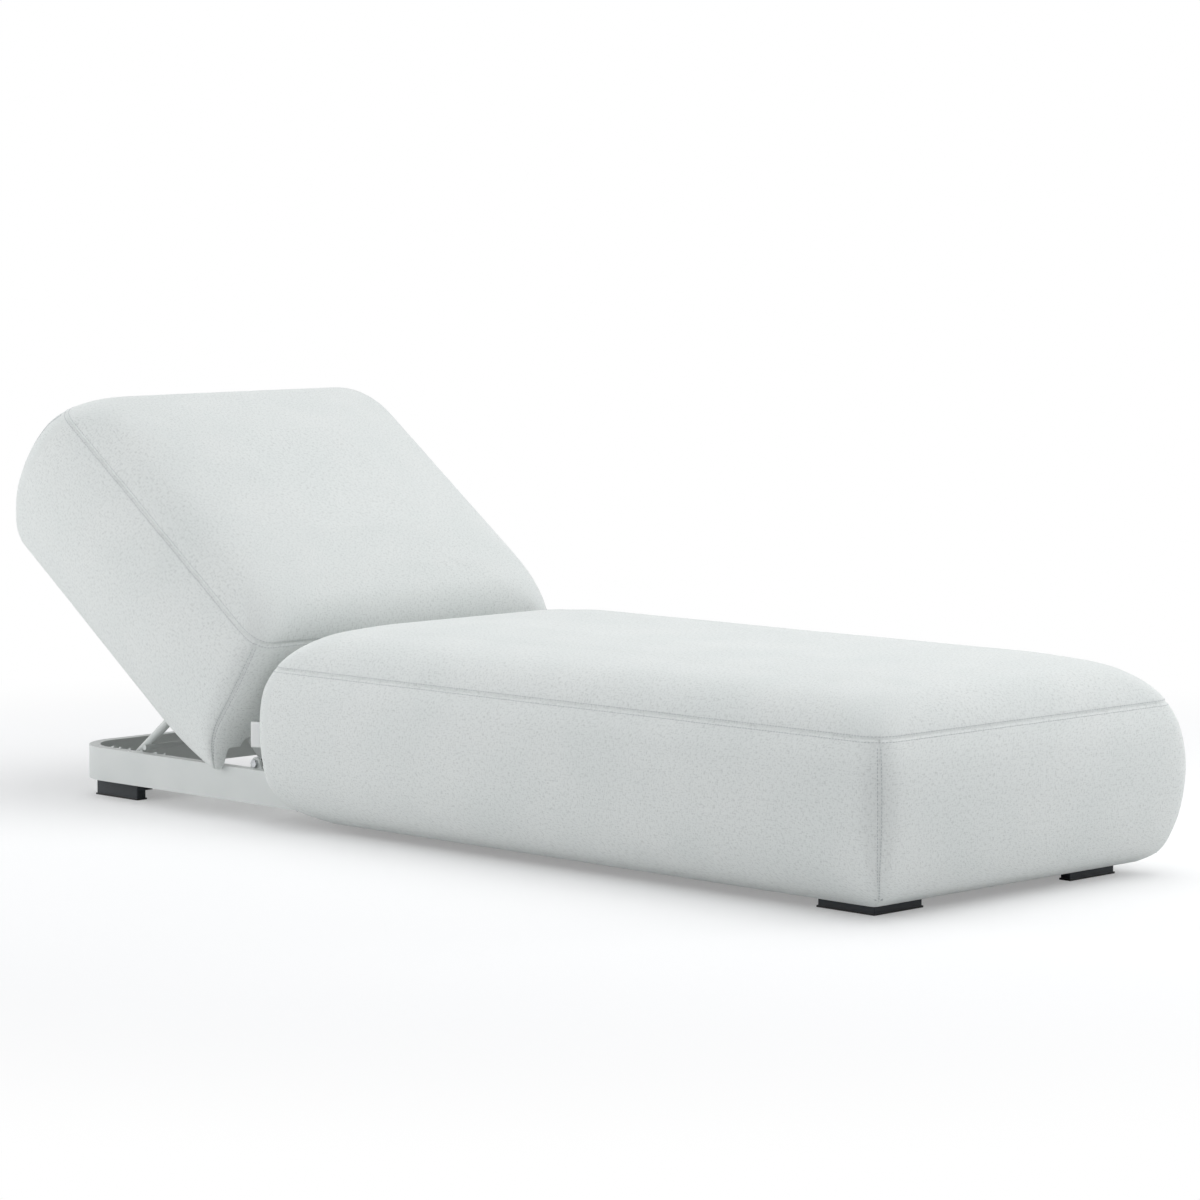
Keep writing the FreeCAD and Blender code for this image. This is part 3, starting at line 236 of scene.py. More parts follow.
# Levels of the cover from hem to crown, as shares of its height: the level, the side, foot end and
# head end insets from the widest outline, and the corner radius. The seam is the last level below 0.8.
SEAT_SHARES = [
    (0.000, 0.190, 0.200, 0.430, 0.029),
    (0.050, 0.121, 0.110, 0.200, 0.046),
    (0.149, 0.063, 0.063, 0.066, 0.081),
    (0.290, 0.020, 0.020, 0.032, 0.121),
    (0.478, 0.000, 0.000, 0.018, 0.150),
    (0.639, 0.023, 0.023, 0.023, 0.144),
    (0.752, 0.075, 0.075, 0.075, 0.110),
    (0.832, 0.115, 0.120, 0.125, 0.167),
    (0.905, 0.190, 0.200, 0.210, 0.248),
    (0.944, 0.300, 0.320, 0.330, 0.300),
    (0.972, 0.500, 0.540, 0.560, 0.240),
    (0.990, 0.750, 0.850, 0.850, 0.150),
]


def smooth_levels(rows, spacing):
    """Levels about one spacing apart on a smooth curve through the rows."""
    rows = [np.array(row) for row in rows]
    ends = [2 * rows[0] - rows[1]] + rows + [2 * rows[-1] - rows[-2]]
    found = []
    for index in range(1, len(rows)):
        before, start, end, after = ends[index - 1:index + 3]
        steps = max(1, round(float(np.hypot(*(end - start)[:2])) / spacing))
        for t in np.arange(steps) / steps:
            found.append(0.5 * (2 * start + (end - before) * t
                                + (2 * before - 5 * start + 4 * end - after) * t ** 2
                                + (3 * start - before - 3 * end + after) * t ** 3))
    return found + [rows[-1]]


def rows_at_seam(levels, distances):
    """The levels with extra ones close to the last level, which is a seam."""
    seam = levels[-1]
    reach = [float(np.hypot(*(level - seam)[:2])) for level in levels]
    kept = [level for level, far in zip(levels, reach) if far > max(distances) * 1.4]
    reach = np.array(reach[::-1])
    columns = np.array(levels[::-1])
    for distance in sorted(distances, reverse=True):
        kept.append(np.array([np.interp(distance, reach, column) for column in columns.T]))
    return kept + [seam]


# Shares of a quarter turn at which a round corner has points. They crowd at its middle, where the
# side band has its upright seam. SEAM_SIDES are how far from the flat seam extra rows of points lie.
TURN_SHARES = (0.0, 0.13, 0.26, 0.36, 0.42, 0.46, 0.5, 0.54, 0.58, 0.64, 0.74, 0.87)
SEAM_SIDES = (0.002, 0.004, 0.009)


def outline_points(low_x, high_x, half_width, radius, along, across):
    """A closed outline with round corners and always the same number of points: the place and the
    outward direction of each, and how far along its corner's turn it is, or -1 on a side."""
    radius = max(0.0005, min(radius, half_width, (high_x - low_x) / 2))
    inner = (low_x + radius, high_x - radius, half_width - radius)
    sides = [((inner[0], -half_width), (inner[1], -half_width), (0, -1), (inner[1], -inner[2]), -90),
             ((high_x, -inner[2]), (high_x, inner[2]), (1, 0), (inner[1], inner[2]), 0),
             ((inner[1], half_width), (inner[0], half_width), (0, 1), (inner[0], inner[2]), 90),
             ((low_x, inner[2]), (low_x, -inner[2]), (-1, 0), (inner[0], -inner[2]), 180)]
    points = []
    for number, (start, end, facing, centre, turn) in enumerate(sides):
        count = across if number % 2 else along
        for share in np.arange(count) / count:
            points.append((start[0] + (end[0] - start[0]) * share, start[1] + (end[1] - start[1]) * share,
                           *facing, -1.0))
        for share in TURN_SHARES:
            angle = math.radians(turn + 90 * share)
            points.append((centre[0] + radius * math.cos(angle), centre[1] + radius * math.sin(angle),
                           math.cos(angle), math.sin(angle), share))
    return points


def fill_ring(ring, across, along):
    """Points inside a closed ring, as a grid whose four corners are the middles of the ring's
    round corners, and the indices of its faces. Ring indices stay, and new points follow."""
    half_turn = TURN_SHARES.index(0.5)
    wide = along + len(TURN_SHARES)
    deep = across + len(TURN_SHARES)
    size = len(ring)
    first = size - half_turn
    low = [(first + step) % size for step in range(wide + 1)]
    right = [(first + wide + step) % size for step in range(deep + 1)]
    high = [(first + 2 * wide + deep - step) % size for step in range(wide + 1)]
    left = [(first - step) % size for step in range(deep + 1)]
    spots = np.array(ring)
    grid = np.full((deep + 1, wide + 1), -1)
    grid[0], grid[-1] = low, high
    grid[:, 0], grid[:, -1] = left, right
    added = []
    for row in range(1, deep):
        v = row / deep
        for column in range(1, wide):
            u = column / wide
            edges = ((1 - v) * spots[low[column]] + v * spots[high[column]]
                     + (1 - u) * spots[left[row]] + u * spots[right[row]])
            corners = ((1 - u) * (1 - v) * spots[low[0]] + u * (1 - v) * spots[low[-1]]
                       + (1 - u) * v * spots[high[0]] + u * v * spots[high[-1]])
            grid[row, column] = size + len(added)
            added.append(edges - corners)
    faces = [(grid[row, column], grid[row, column + 1], grid[row + 1, column + 1], grid[row + 1, column])
             for row in range(deep) for column in range(wide)]
    return added, faces


# The top panel's weave is mapped from above, and let out towards its seam by this share of the
# cloth's way there from the crown.
DROP_SHARE = 0.35


def cushion_skin(name, low_x, high_x, half_width, hem_level, total_height, shares, spacing):
    """The closed outer skin of a cushion: rings from the hem over the seam to the crown, closed by a
    grid at both ends. Returned with it is a table with one row for each point of the rings: how far
    it is from the seam along the cloth, its way round, its outward direction and its share of a
    corner's turn."""
    rows = [[share * total_height for share in row] for row in shares]
    seam_row = [row[0] for row in shares].index(max(row[0] for row in shares if row[0] < 0.8))
    below = rows_at_seam(smooth_levels(rows[:seam_row + 1], spacing), SEAM_SIDES)
    above = rows_at_seam(smooth_levels(rows[seam_row:], spacing)[::-1], SEAM_SIDES)[::-1][1:]
    along = round((high_x - low_x) / spacing)
    across = round(2 * half_width / spacing)
    levels = below + above
    reach = np.cumsum([0.0] + [float(np.hypot(*(b - a)[:2])) for a, b in zip(levels, levels[1:])])
    reach -= reach[len(below) - 1]
    verts = []
    table = []
    for level, from_seam in zip(levels, reach):
        z, side_in, foot_in, head_in, radius = level
        outline = outline_points(low_x + head_in, high_x - foot_in, half_width - side_in, radius,
                                 along, across)
        places = np.array(outline)[:, :2]
        around = np.cumsum(np.linalg.norm(places - np.roll(places, 1, axis=0), axis=1))
        for point, walked in zip(outline, around):
            verts.append((point[0], point[1], hem_level + z))
            table.append((from_seam, walked, *point[2:]))
    size = len(outline)
    faces = []
    for ring in range(len(levels) - 1):
        for step in range(size):
            after = (step + 1) % size
            faces.append((ring * size + step, ring * size + after,
                          (ring + 1) * size + after, (ring + 1) * size + step))
    for ring, flipped in ((0, True), (len(levels) - 1, False)):
        added, inner_faces = fill_ring(verts[ring * size:(ring + 1) * size], across, along)
        start = len(verts)
        verts += [tuple(spot) for spot in added]
        for face in inner_faces:
            face = [ring * size + i if i < size else start + i - size for i in face]
            faces.append(tuple(reversed(face)) if flipped else tuple(face))
    mesh = bpy.data.meshes.new(name)
    mesh.from_pydata(verts, [], faces)
    cut = mesh.uv_layers.new(name="cloth")
    table = np.array(table)
    ringed = len(table)
    top_reach = max(reach)
    for polygon in mesh.polygons:
        above_seam = all(vertex >= ringed or table[vertex][0] >= -1e-6 for vertex in polygon.vertices)
        on_top = above_seam and verts[polygon.vertices[0]][2] > hem_level
        for loop, vertex in zip(polygon.loop_indices, polygon.vertices):
            x, y, z = verts[vertex]
            if vertex >= ringed:
                cut.data[loop].uv = (x, y)
            elif on_top:
                spare = (top_reach - table[vertex][0]) * DROP_SHARE
                cut.data[loop].uv = (x + table[vertex][2] * spare, y + table[vertex][3] * spare)
            else:
                cut.data[loop].uv = (table[vertex][1], table[vertex][0])
    skin = bpy.data.objects.new(name, mesh)
    bpy.context.collection.objects.link(skin)
    return skin, table, size


def wobble(place, scale, seed):
    """A smooth unevenness between -1 and 1, with so many waves a metre."""
    return noise.noise(Vector(place) * scale + Vector((seed, seed * 0.7, -seed)))


# What sewing does to the cloth, in metres: how deep a seam is drawn in, how much that depth varies
# and how wide its groove is, then the height and the reach of the puckers beside it. The upright
# seams at the corners have a deeper groove and add gathered ripples and longer puckers. A corner's
# quarter turn counts as 80 mm of cloth, and 800 radians a metre make one ripple every 8 mm. The
# whole cloth wavers, broadly and finely.
SEAM_DEPTH = 0.0022
SEAM_DEPTH_VARIES = 0.0012
SEAM_WIDTH = 0.003
PUCKER_HEIGHT = 0.0019
PUCKER_REACH = 0.018
CORNER_DEPTH = 0.0036
CORNER_WIDTH = 0.0022
CORNER_TURN = 0.08
RIPPLE_HEIGHT = 0.0011
RIPPLE_REACH = 0.009
RIPPLE_RATE = 800
CORNER_PUCKER_HEIGHT = 0.0009
CORNER_PUCKER_REACH = 0.014
BROAD_WAVER = 0.0009
FINE_WAVER = 0.0004


def dress_cushion(skin, table, seed):
    """Draw the seams in, pucker the cloth beside them and let the whole waver a little."""
    for vertex, (from_seam, walked, out_x, out_y, turn) in zip(skin.data.vertices, table):
        outward = Vector((out_x, out_y, 0.0))
        away = abs(from_seam)
        drawn_in = SEAM_DEPTH + SEAM_DEPTH_VARIES * wobble((walked, 2.0, 0.0), 14.0, seed + 2)
        dent = drawn_in * math.exp(-(away / SEAM_WIDTH) ** 2)
        pucker = (PUCKER_HEIGHT * math.exp(-away / PUCKER_REACH)
                  * wobble((walked, 0.0, from_seam * 0.4), 34.0, seed))
        if turn >= 0 and from_seam < 0:
            from_corner = abs(turn - 0.5) * CORNER_TURN
            dent += CORNER_DEPTH * math.exp(-(from_corner / CORNER_WIDTH) ** 2)
            ripple = math.cos(from_corner * RIPPLE_RATE)
            ripple *= math.exp(-from_corner / RIPPLE_REACH)
            pucker += RIPPLE_HEIGHT * ripple * (0.7 + wobble((from_seam, turn, 0.0), 22.0, seed + 3))
            pucker += (CORNER_PUCKER_HEIGHT * math.exp(-from_corner / CORNER_PUCKER_REACH)
                       * wobble((from_seam, turn * 0.05, 1.0), 55.0, seed + 5))
        waver = (BROAD_WAVER * wobble(vertex.co, 5.0, seed + 7)
                 + FINE_WAVER * wobble(vertex.co, 17.0, seed + 11))
        vertex.co += outward * (waver + pucker - dent)


# How far from a seam, from the hem and, in shares of a turn, from an upright seam the filling's
# pressure starts to move the cloth.
SEAM_HOLD = 0.008
HEM_HOLD = 0.02
CORNER_HOLD = 0.12


def fill_cushion(skin, table, most):
    """Let the filling press the cloth out between the seams, which hold still, but by no more than
    the most given. The foam inside keeps it from falling in."""
    rest = np.array([vertex.co[:] for vertex in skin.data.vertices])
    normals = np.array([vertex.normal[:] for vertex in skin.data.vertices])
    held = skin.vertex_groups.new(name="held")
    hem = min(row[0] for row in table)
    for index in range(len(rest)):
        if index < len(table):
            from_seam, turn = table[index][0], table[index][4]
            weight = max(math.exp(-(from_seam / SEAM_HOLD) ** 2),
                         math.exp(-((from_seam - hem) / HEM_HOLD) ** 2))
            if turn >= 0 and from_seam < 0:
                weight = max(weight, math.exp(-((turn - 0.5) / CORNER_HOLD) ** 2))
        else:
            weight = 1.0 if rest[index][2] < rest[:, 2].min() + 0.001 else 0.0
        if weight > 0.02:
            held.add([index], min(weight, 1.0), "REPLACE")
    pad = skin.modifiers.new("filling", "CLOTH")
    pad.settings.quality = 4
    pad.settings.mass = 0.3
    pad.settings.tension_stiffness = 20
    pad.settings.compression_stiffness = 20
    pad.settings.shear_stiffness = 8
    pad.settings.bending_stiffness = 2
    pad.settings.use_pressure = True
    pad.settings.uniform_pressure_force = 4
    pad.settings.vertex_group_mass = "held"
    pad.settings.effector_weights.gravity = 0
    for step in range(1, 21):
        bpy.context.scene.frame_set(step)
    swollen = skin.evaluated_get(bpy.context.evaluated_depsgraph_get())
    after = np.array([vertex.co[:] for vertex in swollen.data.vertices])
    skin.modifiers.remove(pad)
    bpy.context.scene.frame_set(1)
    pressed_out = np.clip(np.sum((after - rest) * normals, axis=1), 0.0, most)
    skin.data.vertices.foreach_set("co", (rest + normals * pressed_out[:, None]).ravel())
    skin.vertex_groups.clear()


def refine(skin):
    """One more level of subdivision, made part of the mesh, with smooth shading."""
    finer = skin.modifiers.new("finer", "SUBSURF")
    finer.levels = finer.render_levels = 1
    skin.data = bpy.data.meshes.new_from_object(skin.evaluated_get(bpy.context.evaluated_depsgraph_get()))
    skin.modifiers.remove(finer)


# An upright seam's stitches start this far under the seam round the cover, and a bar tack is four
# rows of thread across its foot.
STITCH_SEAM_GAP = 0.01
TACK_ROWS = 4
TACK_SPACING = 0.0012
TACK_HALF = 0.0045


def seam_paths(skin, table, size, hem_gap):
    """The stitch rows of a cover: two round the seam, and two down each upright seam with a bar tack
    at the foot of it. All lie just proud of the cloth."""
    spots = [vertex.co + vertex.normal * 0.0002 for vertex in skin.data.vertices]
    rings = [table[ring * size][0] for ring in range(len(table) // size)]
    paths = []
    for wanted in (-SEAM_SIDES[1], SEAM_SIDES[1]):
        ring = int(np.argmin([abs(far - wanted) for far in rings]))
        paths.append(([spots[ring * size + step] for step in range(size)], True))
    turns = [step for step in range(size) if table[step][4] == 0.5]
    hem = rings[0]
    upright = [ring for ring, far in enumerate(rings) if hem + hem_gap < far < -STITCH_SEAM_GAP]
    for step in turns:
        for aside in (-1, 1):
            paths.append(([spots[ring * size + step + aside] for ring in upright], False))
        foot = spots[upright[0] * size + step]
        aside = (spots[upright[0] * size + step + 1] - spots[upright[0] * size + step - 1]).normalized()
        up = (spots[upright[1] * size + step] - foot).normalized()
        for row in range(TACK_ROWS):
            middle = foot - up * TACK_SPACING * row
            paths.append(([middle - aside * TACK_HALF, middle, middle + aside * TACK_HALF], False))
    return paths


def rounded_block(name, low, high, radius, along="Z"):
    """A solid block, with its own cloth map, whose edges along Z or X are round. One along X is made
    upright, turned onto its side and mirrored to its place."""
    if along == "X":
        low, high = low[::-1], high[::-1]
    middle = (low[1] + high[1]) / 2
    outline = outline_points(low[0], high[0], (high[1] - low[1]) / 2, radius, 1, 1)
    size = len(outline)
    verts = [(point[0], point[1] + middle, z) for z in (low[2], high[2]) for point in outline]
    if along == "X":
        verts = [(z, y, -x) for x, y, z in verts]
    faces = [tuple(reversed(range(size))), tuple(range(size, 2 * size))]
    faces += [(step, (step + 1) % size, size + (step + 1) % size, size + step) for step in range(size)]
    mesh = bpy.data.meshes.new(name)
    mesh.from_pydata(verts, [], faces)
    cut = mesh.uv_layers.new(name="cloth")
    for polygon in mesh.polygons:
        for loop, vertex in zip(polygon.loop_indices, polygon.vertices):
            x, y, z = verts[vertex]
            cut.data[loop].uv = (x, y) if polygon.index < 2 else (x + y, z)
    if along == "X":
        mesh.transform(Matrix.Scale(-1, 4, (0, 0, 1)))
        mesh.flip_normals()
    block = bpy.data.objects.new(name, mesh)
    bpy.context.collection.objects.link(block)
    return block


def hollow_out(skin, cutters):
    """Cut the frame's room out of the underside, then shade the cut edges sharp."""
    for cutter in cutters:
        cut = skin.modifiers.new("room", "BOOLEAN")
        cut.operation = "DIFFERENCE"
        cut.solver = "EXACT"
        cut.object = cutter
        skin.data = bpy.data.meshes.new_from_object(skin.evaluated_get(bpy.context.evaluated_depsgraph_get()))
        skin.modifiers.remove(cut)
        bpy.data.objects.remove(cutter)
    skin.data.polygons.foreach_set("use_smooth", [True] * len(skin.data.polygons))
    skin.data.set_sharp_from_angle(angle=math.radians(55))
    skin.data.materials.clear()


# The mesh has a point about every 16 mm before it is refined, and the filling presses the cloth out
# by up to 1.5 mm.
CLOTH_STEP = 0.016
FILL_REACH = 0.0015
STITCH_HEM_GAP = 0.02
seat_low, seat_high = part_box("seat_cushion")
frame_low, frame_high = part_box("side_rail_left")
foot_rail_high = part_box("foot_rail")[1]
deck_low, deck_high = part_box("seat_deck_board")
seat_half = (seat_high[1] - seat_low[1]) / 2
frame_fit = 0.0004
hem_width = 0.028
seat_cover, seat_table, seat_round = cushion_skin(
    "seat_cover", seat_low[0], seat_high[0], seat_half, seat_low[2], seat_high[2] - seat_low[2],
    SEAT_SHARES, CLOTH_STEP)
dress_cushion(seat_cover, seat_table, 3.0)
fill_cushion(seat_cover, seat_table, FILL_REACH)
refine(seat_cover)
seat_seams = seam_paths(seat_cover, seat_table, seat_round, STITCH_HEM_GAP)
half_frame = frame_high[1] + frame_fit
# The cutters run out past the head end and below the floor.
past_end = seat_low[0] - 0.3
below_floor = -0.05
hollow_out(seat_cover, [
    rounded_block("frame_room", (past_end, -half_frame, frame_low[2] - frame_fit),
                  (foot_rail_high[0] + frame_fit, half_frame, frame_high[2] + frame_fit), 0.095),
    rounded_block("hem_opening", (past_end, -half_frame + hem_width, below_floor),
                  (foot_rail_high[0] - hem_width, half_frame - hem_width, frame_low[2] + frame_fit), 0.02),
    rounded_block("deck_room", (deck_low[0] - frame_fit, deck_low[1] - frame_fit, frame_low[2]),
                  (deck_high[0] + frame_fit, deck_high[1] + frame_fit, deck_high[2] + frame_fit), 0.08),
])
seat_cover.data.materials.append(cloth)
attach(seat_cover, "base")
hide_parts("seat_cushion")

# Backrest cushion: made like the seat, a little thicker, as a shell whose skirts pass outside the
# side rails when it is let down. It is drawn lying flat and then turned up with its frame.
BACK_SHARES = [
    (0.000, 0.112, -0.006, 0.160, 0.030),
    (0.038, 0.090, -0.010, 0.110, 0.044),
    (0.137, 0.058, 0.010, 0.058, 0.077),
    (0.268, 0.019, 0.019, 0.019, 0.115),
    (0.471, 0.000, 0.000, 0.000, 0.142),
    (0.658, 0.022, 0.022, 0.022, 0.137),
    (0.764, 0.071, 0.071, 0.071, 0.104),
    (0.841, 0.106, 0.114, 0.112, 0.150),
    (0.912, 0.171, 0.190, 0.182, 0.220),
    (0.952, 0.285, 0.304, 0.313, 0.280),
    (0.980, 0.480, 0.460, 0.470, 0.230),
    (1.000, 0.680, 0.600, 0.600, 0.150),
]
hinge = next(joint for joint in frame["joints"] if joint["name"] == "backrest_hinge")
hinge_place = Vector(hinge["pos_m"])
rest_angle = math.radians(-hinge["range_deg"][0])
raise_backrest = (Matrix.Translation(hinge_place) @ Matrix.Rotation(rest_angle, 4, "Y")
                  @ Matrix.Translation(-hinge_place))
# Lying flat, the cover is 722 mm long and 367 mm high, its hem is 31.5 mm above the floor, and its
# foot end is 47.5 mm behind the hinge.
back_length = 0.722
back_height = 0.367
back_hem = 0.0315
back_foot = hinge_place[0] - 0.0475
back_cover, back_table, back_round = cushion_skin(
    "backrest_cover", back_foot - back_length, back_foot, seat_half, back_hem, back_height,
    BACK_SHARES, CLOTH_STEP)
# The hem rises by 19 mm over the last 160 mm towards the hinge, where the two lower corners are
# turned up. Only the lowest 60 mm of the skirt follow it.
hem_lift = 0.019
lift_length = 0.16
lift_height = 0.06
for vertex in back_cover.data.vertices:
    near_hinge = min(1.0, max(0.0, (vertex.co.x - back_foot + lift_length) / lift_length))
    near_hem = max(0.0, 1.0 - (vertex.co.z - back_hem) / lift_height)
    vertex.co.z += hem_lift * near_hem * near_hinge ** 2
dress_cushion(back_cover, back_table, 23.0)
fill_cushion(back_cover, back_table, FILL_REACH)
refine(back_cover)
back_seams = seam_paths(back_cover, back_table, back_round, STITCH_HEM_GAP)
back_seams = [([raise_backrest @ spot for spot in path], closed) for path, closed in back_seams]
# The pocket takes the backrest frame and, lying flat, goes 8 mm clear over the side rails. Towards
# the hinge it narrows to rooms for the rails, the hinge cross rail and the two hinge arms.
pocket_half = frame_high[1] + 0.008
pocket_head = hinge_place[0] - 0.7008
pocket_foot = hinge_place[0] - 0.0795
pocket_top = 0.1524
room_start = hinge_place[0] - 0.15
past_foot = back_foot + 0.3
rail_half = frame_high[1] + 0.003
rail_top = 0.0955
hinge_half = 0.305
hinge_top = 0.116
arm_inner = 0.272
arm_outer = 0.29
arm_low = 0.06
hollow_out(back_cover, [
    rounded_block("frame_room", (pocket_head, -pocket_half, below_floor),
                  (pocket_foot, pocket_half, pocket_top), 0.012),
    rounded_block("rail_room", (room_start, -rail_half, below_floor), (past_foot, rail_half, rail_top),
                  0.004, "X"),
    rounded_block("hinge_room", (room_start, -hinge_half, below_floor), (past_foot, hinge_half, hinge_top),
                  0.016, "X"),
    rounded_block("left_arm_room", (room_start, arm_inner, arm_low), (past_foot, arm_outer, pocket_top),
                  0.004, "X"),
    rounded_block("right_arm_room", (room_start, -arm_outer, arm_low), (past_foot, -arm_inner, pocket_top),
                  0.004, "X"),
])
back_cover.data.transform(raise_backrest)
back_cover.data.materials.append(cloth)
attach(back_cover, "backrest")
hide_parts("backrest_cushion")

# Topstitching: two rows of polyester thread beside each seam, in 4.5 mm stitches that dip into the
# cloth, and a short bar tack across the foot of each upright seam. The thread is 0.5 mm thick; it is
# drawn at 1.1 mm to show at all.
thread, tree, shader = new_material("grey polyester thread with painted stitch shade")
place = add_node(tree, "ShaderNodeTexCoord").outputs["Object"]
ply = add_node(tree, "ShaderNodeTexNoise", inputs={"Vector": place, "Scale": 900.0, "Detail": 1.0})
# The thread's own pale grey is drawn darker here, as painted shade where the stitches dip into the cloth.
shade = add_node(tree, "ShaderNodeValToRGB", inputs={"Fac": ply.outputs["Fac"]},
                 stops=((0.35, "#a9adb0"), (0.65, "#c0c3c5")))
tree.links.new(shade.outputs["Color"], shader.inputs["Base Color"])
shader.inputs["Roughness"].default_value = 0.6


def stitch_tree():
    """Nodes that lay stitches end to end along the lines of a mesh."""
    tree = bpy.data.node_groups.new("stitches", "GeometryNodeTree")
    face = tree.interface
    face.new_socket("Geometry", in_out="INPUT", socket_type="NodeSocketGeometry")
    for name in ("Pitch", "Stitch Length", "Thread Radius"):
        face.new_socket(name, in_out="INPUT", socket_type="NodeSocketFloat")
    face.new_socket("Material", in_out="INPUT", socket_type="NodeSocketMaterial")
    face.new_socket("Geometry", in_out="OUTPUT", socket_type="NodeSocketGeometry")
    given = add_node(tree, "NodeGroupInput").outputs
    line = add_node(tree, "GeometryNodeMeshToCurve", inputs={"Mesh": given["Geometry"]})
    spaced = add_node(tree, "GeometryNodeResampleCurve", {"mode": "LENGTH"},
                      {"Curve": line.outputs["Curve"], "Length": given["Pitch"]})
    bead = add_node(tree, "GeometryNodeMeshUVSphere", inputs={"Segments": 6, "Rings": 4, "Radius": 1.0})
    half = add_node(tree, "ShaderNodeMath", {"operation": "DIVIDE"}, {0: given["Stitch Length"], 1: 2.0})
    shape = add_node(tree, "ShaderNodeCombineXYZ",
                     inputs={"X": given["Thread Radius"], "Y": given["Thread Radius"],
                             "Z": half.outputs["Value"]})
    along = add_node(tree, "FunctionNodeAlignRotationToVector", {"axis": "Z"},
                     {"Vector": add_node(tree, "GeometryNodeInputTangent").outputs["Tangent"]})
    laid = add_node(tree, "GeometryNodeInstanceOnPoints",
                    inputs={"Points": spaced.outputs["Curve"], "Instance": bead.outputs["Mesh"],
                            "Rotation": along.outputs["Rotation"], "Scale": shape.outputs["Vector"]})
    real = add_node(tree, "GeometryNodeRealizeInstances", inputs={"Geometry": laid.outputs["Instances"]})
    dyed = add_node(tree, "GeometryNodeSetMaterial", inputs={"Geometry": real.outputs["Geometry"],
                                                             "Material": given["Material"]})
    add_node(tree, "NodeGroupOutput", inputs={"Geometry": dyed.outputs["Geometry"]})
    return tree


stitch_nodes = stitch_tree()


def sew(name, paths, body, pitch=0.0058, length=0.0045, radius=0.00055):
    """Stitches along open or closed paths, as one plain mesh that rides on a body."""
    verts = []
    edges = []
    for path, closed in paths:
        start = len(verts)
        verts += [tuple(spot) for spot in path]
        edges += [(start + step, start + step + 1) for step in range(len(path) - 1)]
        if closed:
            edges.append((start + len(path) - 1, start))
    mesh = bpy.data.meshes.new(name)
    mesh.from_pydata(verts, edges, [])
    lines = bpy.data.objects.new(name, mesh)
    bpy.context.collection.objects.link(lines)
    sewing = lines.modifiers.new("stitches", "NODES")
    sewing.node_group = stitch_nodes
    wanted = {"Pitch": pitch, "Stitch Length": length, "Thread Radius": radius, "Material": thread}
    for socket in stitch_nodes.interface.items_tree:
        if socket.in_out == "INPUT" and socket.name in wanted:
            sewing[socket.identifier] = wanted[socket.name]
    lines.data = bpy.data.meshes.new_from_object(lines.evaluated_get(bpy.context.evaluated_depsgraph_get()))
    lines.modifiers.remove(sewing)
    lines.data.polygons.foreach_set("use_smooth", [True] * len(lines.data.polygons))
    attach(lines, body)


sew("seat_topstitching", seat_seams, "base")
sew("backrest_topstitching", back_seams, "backrest")

# Fabric tab: a strip of ribbed white satin tape, cut 44 mm wide, folded in half and sewn into the
# corner seam of the seat cover at the head end.
satin, tree, shader = new_material("white satin tape")
place = add_node(tree, "ShaderNodeTexCoord").outputs["Object"]
ribs = add_node(tree, "ShaderNodeTexWave", {"bands_direction": "Z"}, {"Vector": place, "Scale": 300.0})
shade = add_node(tree, "ShaderNodeValToRGB", inputs={"Fac": ribs.outputs["Fac"]},
                 stops=((0.0, "#f2f3f3"), (1.0, "#fdfdfc")))
tree.links.new(shade.outputs["Color"], shader.inputs["Base Color"])
shader.inputs["Roughness"].default_value = 0.4
tab_low, tab_high = (Vector(corner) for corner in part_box("fabric_tab"))
tab_outward = Vector((-1, -1, 0)).normalized()
tab_across = Vector((1, -1, 0)).normalized()
tab_sewn_in = 0.012
tab_held_back = 0.007
tab_root = Vector((tab_high.x, tab_high.y, 0)) - tab_outward * tab_sewn_in
tab_reach = (Vector((tab_low.x, tab_low.y, 0)) - tab_root).length - tab_held_back
leaf_gap = 0.0009
fold = [(tab_reach * step / 8, leaf_gap / 2) for step in range(9)]
for turn in (36, 72, 108, 144):
    angle = math.radians(turn)
    fold.append((tab_reach + leaf_gap / 2 * math.sin(angle), leaf_gap / 2 * math.cos(angle)))
fold += [(tab_reach * step / 8, -leaf_gap / 2) for step in range(8, -1, -1)]
# The loose fold stands 1.6 mm out of line at most, and under 0.8 mm higher than the sewn end.
tab_steps = 12
tab_bend = 0.0016
tab_rise = 0.0008
verts = []
for step in range(tab_steps + 1):
    level = tab_low.z + (tab_high.z - tab_low.z) * step / tab_steps
    for reach, aside in fold:
        share = reach / tab_reach
        bend = tab_bend * share ** 2 * math.sin(step / tab_steps * 3.4 + 0.4)
        spot = tab_root + tab_outward * reach + tab_across * (aside + bend)
        verts.append((spot.x, spot.y, level + tab_rise * share * math.sin(share * 2)))
width = len(fold)
faces = [(row * width + step, row * width + step + 1, (row + 1) * width + step + 1, (row + 1) * width + step)
         for row in range(tab_steps) for step in range(width - 1)]
mesh = bpy.data.meshes.new("blank_tab")
mesh.from_pydata(verts, [], faces)
mesh.materials.append(satin)
blank_tab = bpy.data.objects.new("blank_tab", mesh)
bpy.context.collection.objects.link(blank_tab)
body_of_tape = blank_tab.modifiers.new("tape", "SOLIDIFY")
body_of_tape.thickness = 0.00035
body_of_tape.offset = 0.0
mesh.polygons.foreach_set("use_smooth", [True] * len(mesh.polygons))
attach(blank_tab, "base")
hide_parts("fabric_tab")

